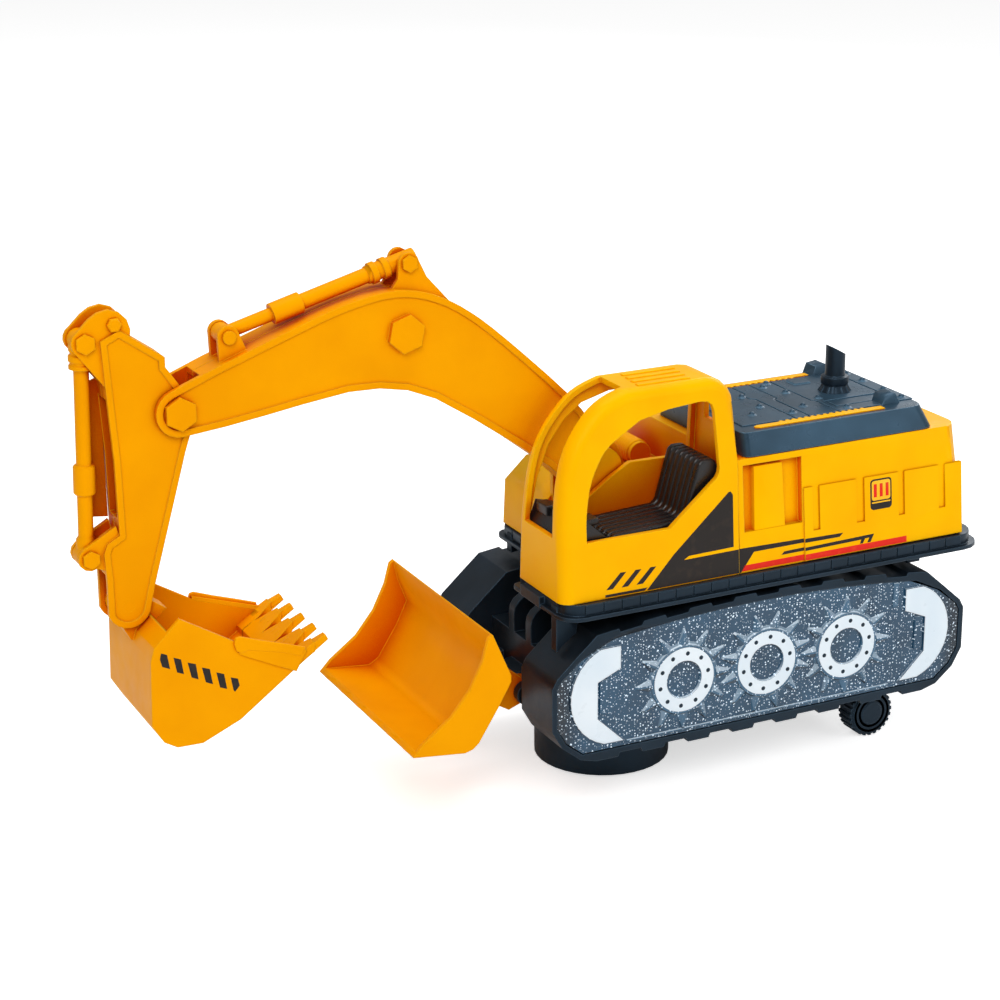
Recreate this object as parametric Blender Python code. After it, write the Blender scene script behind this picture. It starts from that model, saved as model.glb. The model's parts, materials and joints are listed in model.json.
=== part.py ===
"""Toy excavator: a battery driven toy with clear gear-pattern side panels, a digging arm and a front shovel.

All sizes are in millimetres and MM turns them to metres. +X points to the rear, -Y to the cab side, +Z up.
The ground is at Z = 0 and the middle of the tracks at X = 0 before the whole toy is centred over the origin.
"""

import math

import bmesh
import bpy
from mathutils import Matrix, Vector

MM = 0.001
GAP = 0.3  # between pieces that touch
SIDES = (-1, 1)  # the cab side is -1

# Tracks
TRACK_WIDTH = 28.0
TRACK_OUTER_Y = 55.5
TRACK_INNER_Y = TRACK_OUTER_Y - TRACK_WIDTH
TRACK_HALF_LENGTH = 100.9
TRACK_MIDDLE_Z = 52.8
TRACK_BOTTOM_Z = 26.1
TRACK_SAG = 0.3  # how far the underside hangs lower at its middle
TRACK_CROWN_Z = 83.3
TRACK_SHOULDER_Z = 71.9
TRACK_WALL = 2.2
LUG_PITCH = 21.6
LUG_LENGTH = 10.0
TOP_LUG_HEIGHT = 1.6
BOTTOM_LUG_HEIGHT = 1.8

# Clear side panels
PANEL_THICKNESS = 1.8
RELIEF_HEIGHT = 0.8
GEAR_PITCH = 40.0
GEAR_TEETH = 12
GEAR_TIP_RADIUS = 22.6
GEAR_DRUM_RADIUS = 16.4
RING_RADIUS = 14.0
RING_HOLE_RADIUS = 8.1

# Chassis
CHASSIS_HALF_LENGTH = 88.0
CHASSIS_TOP_Z = 61.0
CHASSIS_BOTTOM_Z = 38.0
CHASSIS_WALL = 2.0
CHASSIS_HALF_WIDTH = TRACK_INNER_Y - GAP
NECK_RADIUS = 24.0
NECK_X = 12.0
FRONT_LUG_RADIUS = 7.5
FRONT_LUG_THICKNESS = 5.0
FRONT_LUG_Y = 8.0
FRONT_LUG_Z = 69.0

# Bottom plate, drive pod and power train
PLATE_THICKNESS = 3.0
POD_X = -48.6
POD_RADIUS = 29.4
POD_WALL = 2.0
POD_NECK_RADIUS = 26.4
POD_CLEARANCE = 1.5
SPINDLE_RADIUS = 8.0
SHAFT_RADIUS = 1.5
DRIVE_WHEEL_RADIUS = 9.0
DRIVE_WHEEL_WIDTH = 6.0
DRIVE_WHEEL_Y = 18.0
CROWN_GEAR_RADIUS = 11.0
CROWN_GEAR_TEETH = 24
AXLE_GEAR_RADIUS = 7.0
AXLE_GEAR_TEETH = 16
SMALL_PINION_RADIUS = 3.2
MOTOR_PINION_RADIUS = 2.6
MOTOR_PINION_TEETH = 8
MOTOR_RADIUS = 10.0
MOTOR_LENGTH = 25.0
MOTOR_X = -36.0
MOTOR_Z = 48.2
PLATE_TOP_Z = CHASSIS_BOTTOM_Z - GAP
PLATE_BOTTOM_Z = PLATE_TOP_Z - PLATE_THICKNESS
POD_SHOULDER_Z = TRACK_BOTTOM_Z - BOTTOM_LUG_HEIGHT - GAP
TURNTABLE_TOP_Z = 21.5
TURNTABLE_THICKNESS = 2.5
TURNTABLE_BOTTOM_Z = TURNTABLE_TOP_Z - TURNTABLE_THICKNESS

# Rear wheels
REAR_AXLE_X = 65.0
REAR_WHEEL_RADIUS = 11.0
REAR_WHEEL_WIDTH = 10.0
REAR_WHEEL_OUTER_Y = 41.5
HANGER_THICKNESS = 4.0

# Batteries, switch and sound
CELL_RADIUS = 7.25
CELL_LENGTH = 50.5
CELL_COUNT = 3
CELL_FRONT_X = 2.0
CELL_BAY = (CELL_FRONT_X - 2, CELL_FRONT_X + CELL_LENGTH + 2)
CELL_BAY_HALF_WIDTH = CELL_COUNT * CELL_RADIUS + 0.6
SCREW_HEAD_RADIUS = 2.6
SCREW_SHANK_RADIUS = 1.2
SCREW_LENGTH = 9.0
SCREW_X = 80.0
SCREW_Y = 20.0
SWITCH_X = -11.0
SWITCH_Y = -18.0
SWITCH_TRAVEL = 4.0
SPEAKER_RADIUS = 13.0
SPEAKER_X = 67.0
BOARD_TOP_Z = 56.6
BOARD_THICKNESS = 1.6
LAMP_RADIUS = 2.5
LAMP_X = 20.0

# Platform
PLATFORM_HALF_WIDTH = 56.3
PLATFORM_CAB_FRONT_X = -95.3
PLATFORM_FAR_FRONT_X = -72.5
PLATFORM_REAR_X = 110.2
PLATFORM_STEP_Y = -6.9
PLATFORM_BOTTOM_Z = 86.8
PLATFORM_TOP_Z = 93.0
LIP_WIDTH = 2.0
LIP_HEIGHT = 1.6
POST_Y = 43.5
POST_THICKNESS = 4.4

# Body shell
BODY_HALF_WIDTH = 52.0
BODY_REAR_X = 105.0
BODY_ROOF_Z = 141.0
BODY_WALL = 2.2
DRAFT = 0.1
HOUSING_FRONT_X = -11.5
BAY_HALF_WIDTH = 12.0
BAY_FLOOR_Z = 108.0
BAY_FRONT_X = -70.0
BAY_FRONT_Z = 114.0
DECK_Z = 124.0
CAB_FRONT_X = -94.5
CAB_REAR_X = -12.0
CAB_ROOF_Z = 177.0
CAB_WALL = 2.4
CAB_SHOULDER_Z = 121.0
CAB_REAR_RADIUS = 12.5
CAB_NEAR_ROUND = 5.0
CAB_FAR_ROUND = 2.4
CAB_ROUND_STEPS = 4
CAB_POST_WIDTH = 7.0
CAB_FAR_POST_WIDTH = 4.5
CAB_LEAN = 0.07
SEAT_MARGIN = 2.1
SEAT_FLUTES = 6
RECESS_DEPTH = 3.4
DRUM_RADIUS = 5.2
DRUM_X = -22.5

# Hood and exhaust
HOOD_FRONT_X = -7.0
HOOD_REAR_X = 88.0
HOOD_NEAR_Y = -46.8
HOOD_FAR_Y = 26.5
HOOD_TOP_Z = 151.0
HOOD_WALL = 1.8
HOOD_INSET = 3.0
STRIP_NEAR_Y = -39.3
STRIP_FAR_Y = 19.4
STRIP_FRONT_X = 2.0
STRIP_REAR_X = 64.5
STRIP_WIDTH = 2.6
STRIP_TEETH = 16
EXHAUST_X = 61.5
EXHAUST_Y = -8.0
EXHAUST_RADIUS = 4.6
EXHAUST_COLLAR_RADIUS = 5.9
EXHAUST_TOP_Z = 172.5

# Digging arm
BOOM_PIVOT = (-56.5, 134.0)
BOOM_FOOT_RADIUS = 12.5
BOOM_HALF_WIDTH = 9.5
ARM_WALL = 2.0
EAR_RADIUS = 9.8
STICK_PIVOT = (-235.3, 182.0)
BOOM_TIP_RADIUS = 9.4
FORK_DEPTH = 8.3  # from the stick's pin to the wall that closes the boom
BOOM_FORK_X = STICK_PIVOT[0] + FORK_DEPTH
STICK_HALF_WIDTH = 7.0
BUCKET_PIVOT = (-259.0, 107.0)
STICK_FOOT_RADIUS = 8.7
BUCKET_HALF_WIDTH = 27.0
BUCKET_WALL = 2.0
TONGUE_HALF_WIDTH = 4.6
TOOTH_COUNT = 5
PIN_RADIUS = 2.5
SMALL_PIN_RADIUS = 1.6
ARM_CYLINDER_FRONT = (-213.5, 208.4)
ARM_CYLINDER_REAR = (-138.0, 228.9)
STICK_CYLINDER_TOP = (-269.4, 212.6)
STICK_CYLINDER_FOOT = (-272.6, 128.4)
FOOT_BRACKET_RADIUS = 4.8
LUG_PLATE = 2.0
LUG_PLATE_Y = 4.0

# Front shovel
SHOVEL_PIVOT = (-94.0, 43.0)
SHOVEL_HALF_WIDTH = 50.0
SHOVEL_WALL = 2.0
SHOVEL_ARM_Y = 12.0
SHOVEL_ARM_WIDTH = 7.0
SHOVEL_LOBES = 6

FRONT_REACH = STICK_CYLINDER_FOOT[0] - FOOT_BRACKET_RADIUS
CENTRE_X = (FRONT_REACH + PLATFORM_REAR_X) / 2

COLOURS = {
    "yellow": ((1.0, 0.482, 0.0), 0.35, 0.0),
    "orange": ((0.92, 0.36, 0.0), 0.38, 0.0),
    "black": ((0.022, 0.027, 0.033), 0.42, 0.0),
    "clear": ((0.11, 0.15, 0.19), 0.12, 0.0),
    "steel": ((0.55, 0.55, 0.56), 0.3, 1.0),
    "brass": ((0.75, 0.55, 0.22), 0.35, 1.0),
    "nylon": ((0.82, 0.8, 0.74), 0.45, 0.0),
    "board": ((0.02, 0.16, 0.06), 0.5, 0.0),
    "red": ((0.75, 0.03, 0.02), 0.4, 0.0),
    "lead_yellow": ((0.8, 0.55, 0.02), 0.4, 0.0),
}


def clear_scene():
    for found in list(bpy.data.objects):
        bpy.data.objects.remove(found, do_unlink=True)


clear_scene()
parts = bpy.data.collections.new("toy_excavator")
cutters = bpy.data.collections.new("cutters")
bpy.context.scene.collection.children.link(parts)
bpy.context.scene.collection.children.link(cutters)
root = bpy.data.objects.new("toy_excavator_frame", None)
root.location = (-CENTRE_X * MM, 0, 0)
parts.objects.link(root)
bpy.context.view_layer.update()


def material(key):
    """The Principled material of one colour, made on first use."""
    found = bpy.data.materials.get(key)
    if found:
        return found
    colour, roughness, metallic = COLOURS[key]
    made = bpy.data.materials.new(key)
    made.use_nodes = True
    shader = made.node_tree.nodes["Principled BSDF"]
    shader.inputs["Base Color"].default_value = (*colour, 1)
    shader.inputs["Roughness"].default_value = roughness
    shader.inputs["Metallic"].default_value = metallic
    return made


# Shapes: each returns a mesh in the toy's own frame


def finished(shape, name):
    """The mesh of a closed shape, all its faces turned outwards."""
    bmesh.ops.recalc_face_normals(shape, faces=shape.faces)
    if shape.calc_volume(signed=True) < 0:
        bmesh.ops.reverse_faces(shape, faces=shape.faces)
    mesh = bpy.data.meshes.new(name)
    shape.to_mesh(mesh)
    shape.free()
    return mesh


def box(low, high, name="box"):
    """A block between two corners."""
    shape = bmesh.new()
    size = [h - l for l, h in zip(low, high)]
    middle = [(h + l) / 2 for l, h in zip(low, high)]
    place = Matrix.Translation(Vector(middle) * MM) @ Matrix.Diagonal([*(s * MM for s in size), 1])
    bmesh.ops.create_cube(shape, size=1, matrix=place)
    return finished(shape, name)


def rod(radius, start, end, sides=24, end_radius=None, turn=0.0, name="rod"):
    """A cylinder or cone from one point to another."""
    start, end = Vector(start), Vector(end)
    along = end - start
    turned = along.to_track_quat("Z", "Y").to_matrix().to_4x4() @ Matrix.Rotation(turn, 4, "Z")
    shape = bmesh.new()
    bmesh.ops.create_cone(
        shape,
        cap_ends=True,
        segments=sides,
        radius1=radius * MM,
        radius2=(radius if end_radius is None else end_radius) * MM,
        depth=along.length * MM,
        matrix=Matrix.Translation((start + end) / 2 * MM) @ turned,
    )
    return finished(shape, name)


def outline_mesh(outline, low, high, turned, name):
    """A flat outline given a thickness from low to high, then turned into place."""
    curve = bpy.data.curves.new(name, "CURVE")
    curve.dimensions = "2D"
    curve.fill_mode = "BOTH"
    curve.extrude = (high - low) / 2 * MM
    spline = curve.splines.new("POLY")
    spline.points.add(len(outline) - 1)
    for point, (u, v) in zip(spline.points, outline):
        point.co = (u * MM, v * MM, 0, 1)
    spline.use_cyclic_u = True
    flat = bpy.data.objects.new(name, curve)
    bpy.context.scene.collection.objects.link(flat)
    graph = bpy.context.evaluated_depsgraph_get()
    made = bpy.data.meshes.new_from_object(flat.evaluated_get(graph))
    bpy.data.objects.remove(flat)
    bpy.data.curves.remove(curve)
    shape = bmesh.new()
    shape.from_mesh(made)
    bpy.data.meshes.remove(made)
    bmesh.ops.remove_doubles(shape, verts=shape.verts, dist=1e-6)
    bmesh.ops.dissolve_degenerate(shape, dist=1e-6, edges=shape.edges)
    shape.transform(turned @ Matrix.Translation((0, 0, (low + high) / 2 * MM)))
    return finished(shape, name)


def side_slab(outline, low_y, high_y, name="slab"):
    """An outline of (x, z) points, from low_y to high_y."""
    turned = Matrix(((1, 0, 0, 0), (0, 0, 1, 0), (0, 1, 0, 0), (0, 0, 0, 1)))
    return outline_mesh(outline, low_y, high_y, turned, name)


def plan_slab(outline, low_z, high_z, name="slab"):
    """An outline of (x, y) points, from low_z to high_z."""
    return outline_mesh(outline, low_z, high_z, Matrix.Identity(4), name)


def side_loft(sections, name="loft"):
    """Outlines of (x, z) points, one for each y, joined into a solid. All have the same number of points."""
    shape = bmesh.new()
    rings = [[shape.verts.new((x * MM, y * MM, z * MM)) for x, z in outline] for y, outline in sections]
    walls = []
    for near, far in zip(rings, rings[1:]):
        for index in range(len(near)):
            walls.append(shape.faces.new((near[index - 1], near[index], far[index], far[index - 1])))
    caps = [shape.faces.new(rings[0]), shape.faces.new(rings[-1])]
    bmesh.ops.triangulate(shape, faces=walls + caps)
    return finished(shape, name)


def lean(mesh, rate, from_z, low_side=True, high_side=True):
    """Leans the walls inwards as they rise, each by the same rate."""
    middle = (max(v.co.y for v in mesh.vertices) + min(v.co.y for v in mesh.vertices)) / 2
    for vertex in mesh.vertices:
        shift = rate * (vertex.co.z - from_z * MM)
        if vertex.co.y < middle and low_side:
            vertex.co.y += shift
        if vertex.co.y > middle and high_side:
            vertex.co.y -= shift
    return mesh


def lean_rear(mesh, rate, from_z):
    """Leans the rear face forwards as it rises."""
    rear = max(v.co.x for v in mesh.vertices)
    for vertex in mesh.vertices:
        if vertex.co.x > rear - 0.03:
            vertex.co.x -= rate * (vertex.co.z - from_z * MM)
    return mesh


def arc(centre, radius, start, end, steps):
    """Points of an arc, angles in degrees."""
    found = []
    for step in range(steps + 1):
        angle = math.radians(start + (end - start) * step / steps)
        found.append((centre[0] + radius * math.cos(angle), centre[1] + radius * math.sin(angle)))
    return found


def rounded(points, radius, steps=3):
    """The outline with each corner cut to an arc. A corner may carry its own radius as a third value."""
    found = []
    count = len(points)
    for index in range(count):
        here = Vector(points[index][:2])
        before = Vector(points[index - 1][:2])
        after = Vector(points[(index + 1) % count][:2])
        wanted = points[index][2] if len(points[index]) > 2 else radius
        if wanted <= 0:
            found.append(tuple(here))
            continue
        back = (before - here).normalized()
        ahead = (after - here).normalized()
        half = back.angle(ahead) / 2
        reach = wanted / math.tan(half)
        reach = min(reach, (before - here).length * 0.49, (after - here).length * 0.49)
        bow = reach * math.tan(half)
        centre = here + (back + ahead).normalized() * math.hypot(reach, bow)
        start = here + back * reach - centre
        turn = start.angle_signed(here + ahead * reach - centre, 0)
        for step in range(steps + 1):
            spin = Matrix.Rotation(-turn * step / steps, 2)
            found.append(tuple(centre + spin @ start))
    return found


def smooth(points, steps=3):
    """A curve through the points, from the first to the last."""
    found = []
    for index in range(len(points) - 1):
        before = Vector(points[max(index - 1, 0)])
        here = Vector(points[index])
        following = Vector(points[index + 1])
        beyond = Vector(points[min(index + 2, len(points) - 1)])
        for step in range(steps):
            share = step / steps
            slope = following - before
            bend = 2 * before - 5 * here + 4 * following - beyond
            twist = 3 * here - before - 3 * following + beyond
            found.append(tuple(here + (slope * share + bend * share**2 + twist * share**3) / 2))
    return found + [tuple(points[-1])]


def shrunk(outline, inset):
    """The outline moved inwards by inset."""
    area = sum(a[0] * b[1] - b[0] * a[1] for a, b in zip(outline, outline[1:] + outline[:1]))
    inward = 1 if area > 0 else -1
    found = []
    count = len(outline)
    for index in range(count):
        here = Vector(outline[index])
        before = (here - Vector(outline[index - 1])).normalized()
        after = (Vector(outline[(index + 1) % count]) - here).normalized()
        normal_a = Vector((-before.y, before.x)) * inward
        normal_b = Vector((-after.y, after.x)) * inward
        middle = normal_a + normal_b
        scale = inset * 2 / max(middle.length_squared, 0.5)
        found.append(tuple(here + middle * scale))
    return found


# Objects


def part(name, mesh, colour, pivot=None):
    """A named piece of the toy. A moving piece has its origin on its joint's axis."""
    made = bpy.data.objects.new(name, mesh)
    mesh.name = name
    made.data.materials.append(material(colour))
    parts.objects.link(made)
    made.parent = root
    if pivot:
        place = Vector(pivot) * MM
        mesh.transform(Matrix.Translation(-place))
        made.location = place
    mesh.shade_smooth()
    mesh.set_sharp_from_angle(angle=math.radians(32))
    return made


def boolean(target, mesh, operation):
    """Joins a shape to a piece, or cuts it away."""
    helper = bpy.data.objects.new(f"{target.name}_{operation.lower()}", mesh)
    cutters.objects.link(helper)
    helper.parent = root
    helper.hide_render = True
    helper.display_type = "WIRE"
    modifier = target.modifiers.new(operation.title(), "BOOLEAN")
    modifier.operation = operation
    modifier.object = helper
    modifier.solver = "EXACT"


def join(target, mesh):
    boolean(target, mesh, "UNION")


def cut(target, mesh):
    boolean(target, mesh, "DIFFERENCE")


# Undercarriage


def crown_z(x):
    """Height of the track's arched top."""
    return TRACK_CROWN_Z - 3.8 * (x / 68.0) ** 2


def belly_z(x):
    """Height of the track's underside, which sags a little."""
    return TRACK_BOTTOM_Z - TRACK_SAG * (1 - (x / TRACK_HALF_LENGTH) ** 2)


def track_outline(inset=0.0, lugs=True):
    """Side view of a track: arched top, straight ends with facets, flat bottom, and the lugs all round."""
    bottom = TRACK_BOTTOM_Z
    end = TRACK_HALF_LENGTH
    half = [
        (end - 11.5, TRACK_SHOULDER_Z),
        (end - 2.1, 63.6),
        (end, 59.7),
        (end, 40.9),
        (end - 4.5, 32.9),
        (end - 13, bottom),
    ]
    right = list(half)
    left = [(-x, z) for x, z in reversed(half)]
    count = int((end - 14 - LUG_LENGTH / 2) // (LUG_PITCH / 2))
    top = []
    low = []
    for step in range(-count, count + 1):
        x = step * LUG_PITCH / 2
        raised = lugs and step % 2
        ends = (x - LUG_LENGTH / 2, x + LUG_LENGTH / 2)
        rise = TOP_LUG_HEIGHT if raised else 0
        drop = BOTTOM_LUG_HEIGHT if raised else 0
        top += [(x, crown_z(x) + rise) for x in ends] if lugs else [(x, crown_z(x))]
        low += [(x, belly_z(x) - drop) for x in ends] if lugs else []
    outline = left + top + right + list(reversed(low))
    return shrunk(outline, inset) if inset else outline


def add_tracks():
    for side, label in zip(SIDES, ("left", "right")):
        near, far = sorted((side * TRACK_INNER_Y, side * TRACK_OUTER_Y))
        shell = part(f"track_shell_{label}", side_slab(track_outline(), near, far), "black")
        web = side * (TRACK_INNER_Y + TRACK_WALL)
        low, high = sorted((web, side * (TRACK_OUTER_Y + 2)))
        cut(shell, side_slab(track_outline(TRACK_WALL, lugs=False), low, high))
        low, high = sorted((side * (TRACK_INNER_Y - 2), side * (TRACK_INNER_Y + TRACK_WALL + 1)))
        cut(shell, rod(4.0, (-20, low, TRACK_MIDDLE_Z + 8), (-20, high, TRACK_MIDDLE_Z + 8), 12))


def gear_outline(centre_x, turn):
    """A pointed gear: a drum with twelve teeth."""
    found = []
    for tooth in range(GEAR_TEETH):
        for offset, radius in ((0.0, GEAR_TIP_RADIUS), (0.5, GEAR_DRUM_RADIUS)):
            angle = 2 * math.pi * (tooth + turn + offset) / GEAR_TEETH
            found.append((centre_x + radius * math.cos(angle), TRACK_MIDDLE_Z + radius * math.sin(angle)))
    return found


def end_plate_outline(direction):
    """The white C shaped plate at one end of a side panel."""
    z = TRACK_MIDDLE_Z
    inner = [(69.5, z + 20.8), (69.5, z + 10.7), (80.1, z + 6.2), (80.1, z - 9.8), (67.3, z - 21.8)]
    outer = arc((70.5, z - 0.2), 22.6, -72, 68, 8)
    return [(direction * x, height) for x, height in inner + outer]


def add_side_panels():
    for side, label in zip(SIDES, ("left", "right")):
        outer = side * TRACK_OUTER_Y
        back = side * (TRACK_OUTER_Y - PANEL_THICKNESS)
        proud = side * (TRACK_OUTER_Y + RELIEF_HEIGHT)
        low, high = sorted((back, outer))
        panel = part(
            f"side_panel_{label}",
            side_slab(track_outline(TRACK_WALL + GAP, lugs=False), low, high),
            "clear",
        )
        low, high = sorted((side * (TRACK_OUTER_Y - 0.8), proud))
        for index, x in enumerate((-GEAR_PITCH, 0, GEAR_PITCH)):
            join(panel, side_slab(gear_outline(x, index % 2 * 0.5), low, high))
        for direction in (-1, 1):
            join(panel, side_slab(end_plate_outline(direction), low, high))
        for x in (-GEAR_PITCH, 0, GEAR_PITCH):
            mouth = side * (TRACK_OUTER_Y + RELIEF_HEIGHT + 1)
            cut(panel, rod(RING_HOLE_RADIUS, (x, outer, TRACK_MIDDLE_Z), (x, mouth, TRACK_MIDDLE_Z), 18))


def add_chassis():
    end = CHASSIS_HALF_LENGTH
    wide = CHASSIS_HALF_WIDTH
    chassis = part("chassis", box((-end, -wide, CHASSIS_BOTTOM_Z), (end, wide, CHASSIS_TOP_Z)), "black")
    inner = CHASSIS_WALL
    low = (-end + inner, -wide + inner, CHASSIS_BOTTOM_Z - 5)
    high = (end - inner, wide - inner, CHASSIS_TOP_Z - inner)
    cut(chassis, box(low, high))
    neck = (NECK_X, 0, CHASSIS_TOP_Z - 1)
    join(chassis, rod(NECK_RADIUS, neck, (NECK_X, 0, PLATFORM_BOTTOM_Z + 3.7 - GAP), 28))
    cut(
        chassis,
        rod(NECK_RADIUS - inner, (NECK_X, 0, CHASSIS_TOP_Z - 4), (NECK_X, 0, PLATFORM_BOTTOM_Z + 1), 28),
    )
    for side in SIDES:
        y = side * FRONT_LUG_Y
        middle = (-end + FRONT_LUG_RADIUS, FRONT_LUG_Z)
        lug = [(middle[0] + FRONT_LUG_RADIUS, CHASSIS_TOP_Z - 1), *arc(middle, FRONT_LUG_RADIUS, 0, 180, 8)]
        lug.append((-end, CHASSIS_TOP_Z - 1))
        join(chassis, side_slab(lug, y - FRONT_LUG_THICKNESS / 2, y + FRONT_LUG_THICKNESS / 2))
    half = SHOVEL_ARM_WIDTH / 2 + GAP
    spans = (
        (-SHOVEL_ARM_Y - half - 4, -SHOVEL_ARM_Y - half),
        (-SHOVEL_ARM_Y + half, SHOVEL_ARM_Y - half),
        (SHOVEL_ARM_Y + half, SHOVEL_ARM_Y + half + 4),
    )
    for start, stop in spans:
        ear = [
            (-end + 1, SHOVEL_PIVOT[1] + 6),
            *arc(SHOVEL_PIVOT, 5.0, 90, 270, 8),
            (-end + 1, SHOVEL_PIVOT[1] - 5),
        ]
        join(chassis, side_slab(ear, start, stop))
    reach = SHOVEL_ARM_Y + half + 6
    x, z = SHOVEL_PIVOT
    cut(chassis, rod(PIN_RADIUS + GAP, (x, -reach, z), (x, reach, z), 14))
    for x, y in screw_places():
        boss = (x, y, CHASSIS_BOTTOM_Z + GAP)
        join(chassis, rod(3.2, boss, (x, y, CHASSIS_TOP_Z - 1), 12))
        cut(
            chassis,
            rod(
                SCREW_SHANK_RADIUS + GAP,
                (x, y, CHASSIS_BOTTOM_Z - 3),
                (x, y, CHASSIS_BOTTOM_Z + SCREW_LENGTH),
                12,
            ),
        )
    top = CHASSIS_TOP_Z - 1
    for y in (-10, 10):
        join(chassis, rod(2.5, (42, y, BOARD_TOP_Z + GAP), (42, y, top), 12))
    join(
        chassis, box((MOTOR_X + 4, -6, MOTOR_Z + MOTOR_RADIUS + GAP), (MOTOR_X + MOTOR_LENGTH - 4, 6, top))
    )


def screw_places():
    return [(x, y) for x in (-SCREW_X, SCREW_X) for y in (-SCREW_Y, SCREW_Y)]


def add_bottom_plate():
    end = CHASSIS_HALF_LENGTH
    wide = CHASSIS_HALF_WIDTH
    plate = part("bottom_plate", box((-end, -wide, PLATE_BOTTOM_Z), (end, wide, PLATE_TOP_Z)), "black")
    join(plate, rod(POD_NECK_RADIUS, (POD_X, 0, POD_SHOULDER_Z - 1), (POD_X, 0, PLATE_TOP_Z), 36))
    join(plate, rod(POD_RADIUS, (POD_X, 0, POD_CLEARANCE), (POD_X, 0, POD_SHOULDER_Z), 36))
    hollow = POD_RADIUS - POD_WALL
    cut(plate, rod(hollow, (POD_X, 0, -1), (POD_X, 0, POD_SHOULDER_Z - 1), 36))
    cut(plate, rod(POD_NECK_RADIUS - POD_WALL, (POD_X, 0, -1), (POD_X, 0, PLATE_BOTTOM_Z), 36))
    cut(plate, rod(SPINDLE_RADIUS + GAP, (POD_X, 0, -1), (POD_X, 0, PLATE_TOP_Z + 3), 28))
    for side in SIDES:
        y = side * (wide - 2)
        low, high = sorted((y, y - side * HANGER_THICKNESS))
        x = REAR_AXLE_X
        foot = arc((x, REAR_WHEEL_RADIUS), 5.0, 180, 360, 6)
        hanger = [(x + 9, PLATE_BOTTOM_Z + 1), (x - 9, PLATE_BOTTOM_Z + 1), *foot]
        join(plate, side_slab(hanger, low, high))
    cut(
        plate,
        rod(
            SHAFT_RADIUS + GAP,
            (REAR_AXLE_X, -wide - 1, REAR_WHEEL_RADIUS),
            (REAR_AXLE_X, wide + 1, REAR_WHEEL_RADIUS),
            12,
        ),
    )
    half = CELL_BAY_HALF_WIDTH
    cut(plate, box((CELL_BAY[0], -half, PLATE_BOTTOM_Z - 1), (CELL_BAY[1], half, PLATE_TOP_Z + 1)))
    slot_low = (SWITCH_X - 3 - GAP, SWITCH_Y - 2 - GAP, PLATE_BOTTOM_Z - 1)
    slot_high = (SWITCH_X + 3 + SWITCH_TRAVEL + GAP, SWITCH_Y + 2 + GAP, PLATE_TOP_Z + 1)
    cut(plate, box(slot_low, slot_high))
    for x in (-6, 0, 6):
        hole = (SPEAKER_X + x, 0, PLATE_BOTTOM_Z - 1)
        cut(plate, rod(1.5, hole, (SPEAKER_X + x, 0, PLATE_TOP_Z + 1), 12))
    for x, y in screw_places():
        cut(plate, rod(SCREW_SHANK_RADIUS + GAP, (x, y, PLATE_BOTTOM_Z - 1), (x, y, PLATE_TOP_Z + 1), 12))


def add_battery_bay():
    half = CELL_BAY_HALF_WIDTH - GAP
    front, rear = CELL_BAY[0] + GAP, CELL_BAY[1] - GAP
    door = part("battery_door", box((front, -half, PLATE_BOTTOM_Z), (rear, half, PLATE_TOP_Z)), "black")
    screw_x = rear - 3.2
    screw_y = half - 3.2
    cut(
        door,
        rod(
            SCREW_SHANK_RADIUS + GAP,
            (screw_x, screw_y, PLATE_BOTTOM_Z - 1),
            (screw_x, screw_y, PLATE_TOP_Z + 1),
            12,
        ),
    )
    add_screw("battery_door_screw", screw_x, screw_y, PLATE_BOTTOM_Z, PLATE_THICKNESS)
    for index in range(CELL_COUNT):
        y = (index - (CELL_COUNT - 1) / 2) * (2 * CELL_RADIUS + GAP)
        z = PLATE_TOP_Z + GAP + CELL_RADIUS
        cell = part(
            f"battery_{index + 1}",
            rod(CELL_RADIUS, (CELL_FRONT_X + 1, y, z), (CELL_FRONT_X + CELL_LENGTH, y, z), 16),
            "steel",
        )
        join(cell, rod(2.75, (CELL_FRONT_X, y, z), (CELL_FRONT_X + 2, y, z), 12))


def add_screw(name, x, y, face_z, length):
    """A screw from below: its head lies against face_z."""
    screw = part(
        name, rod(SCREW_HEAD_RADIUS, (x, y, face_z - GAP - 1.5), (x, y, face_z - GAP), 16), "steel"
    )
    join(screw, rod(SCREW_SHANK_RADIUS, (x, y, face_z - GAP - 0.5), (x, y, face_z + length - GAP), 12))


def add_plate_screws():
    for index, (x, y) in enumerate(screw_places()):
        add_screw(f"plate_screw_{index + 1}", x, y, PLATE_BOTTOM_Z, PLATE_THICKNESS + SCREW_LENGTH - 1)


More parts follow.
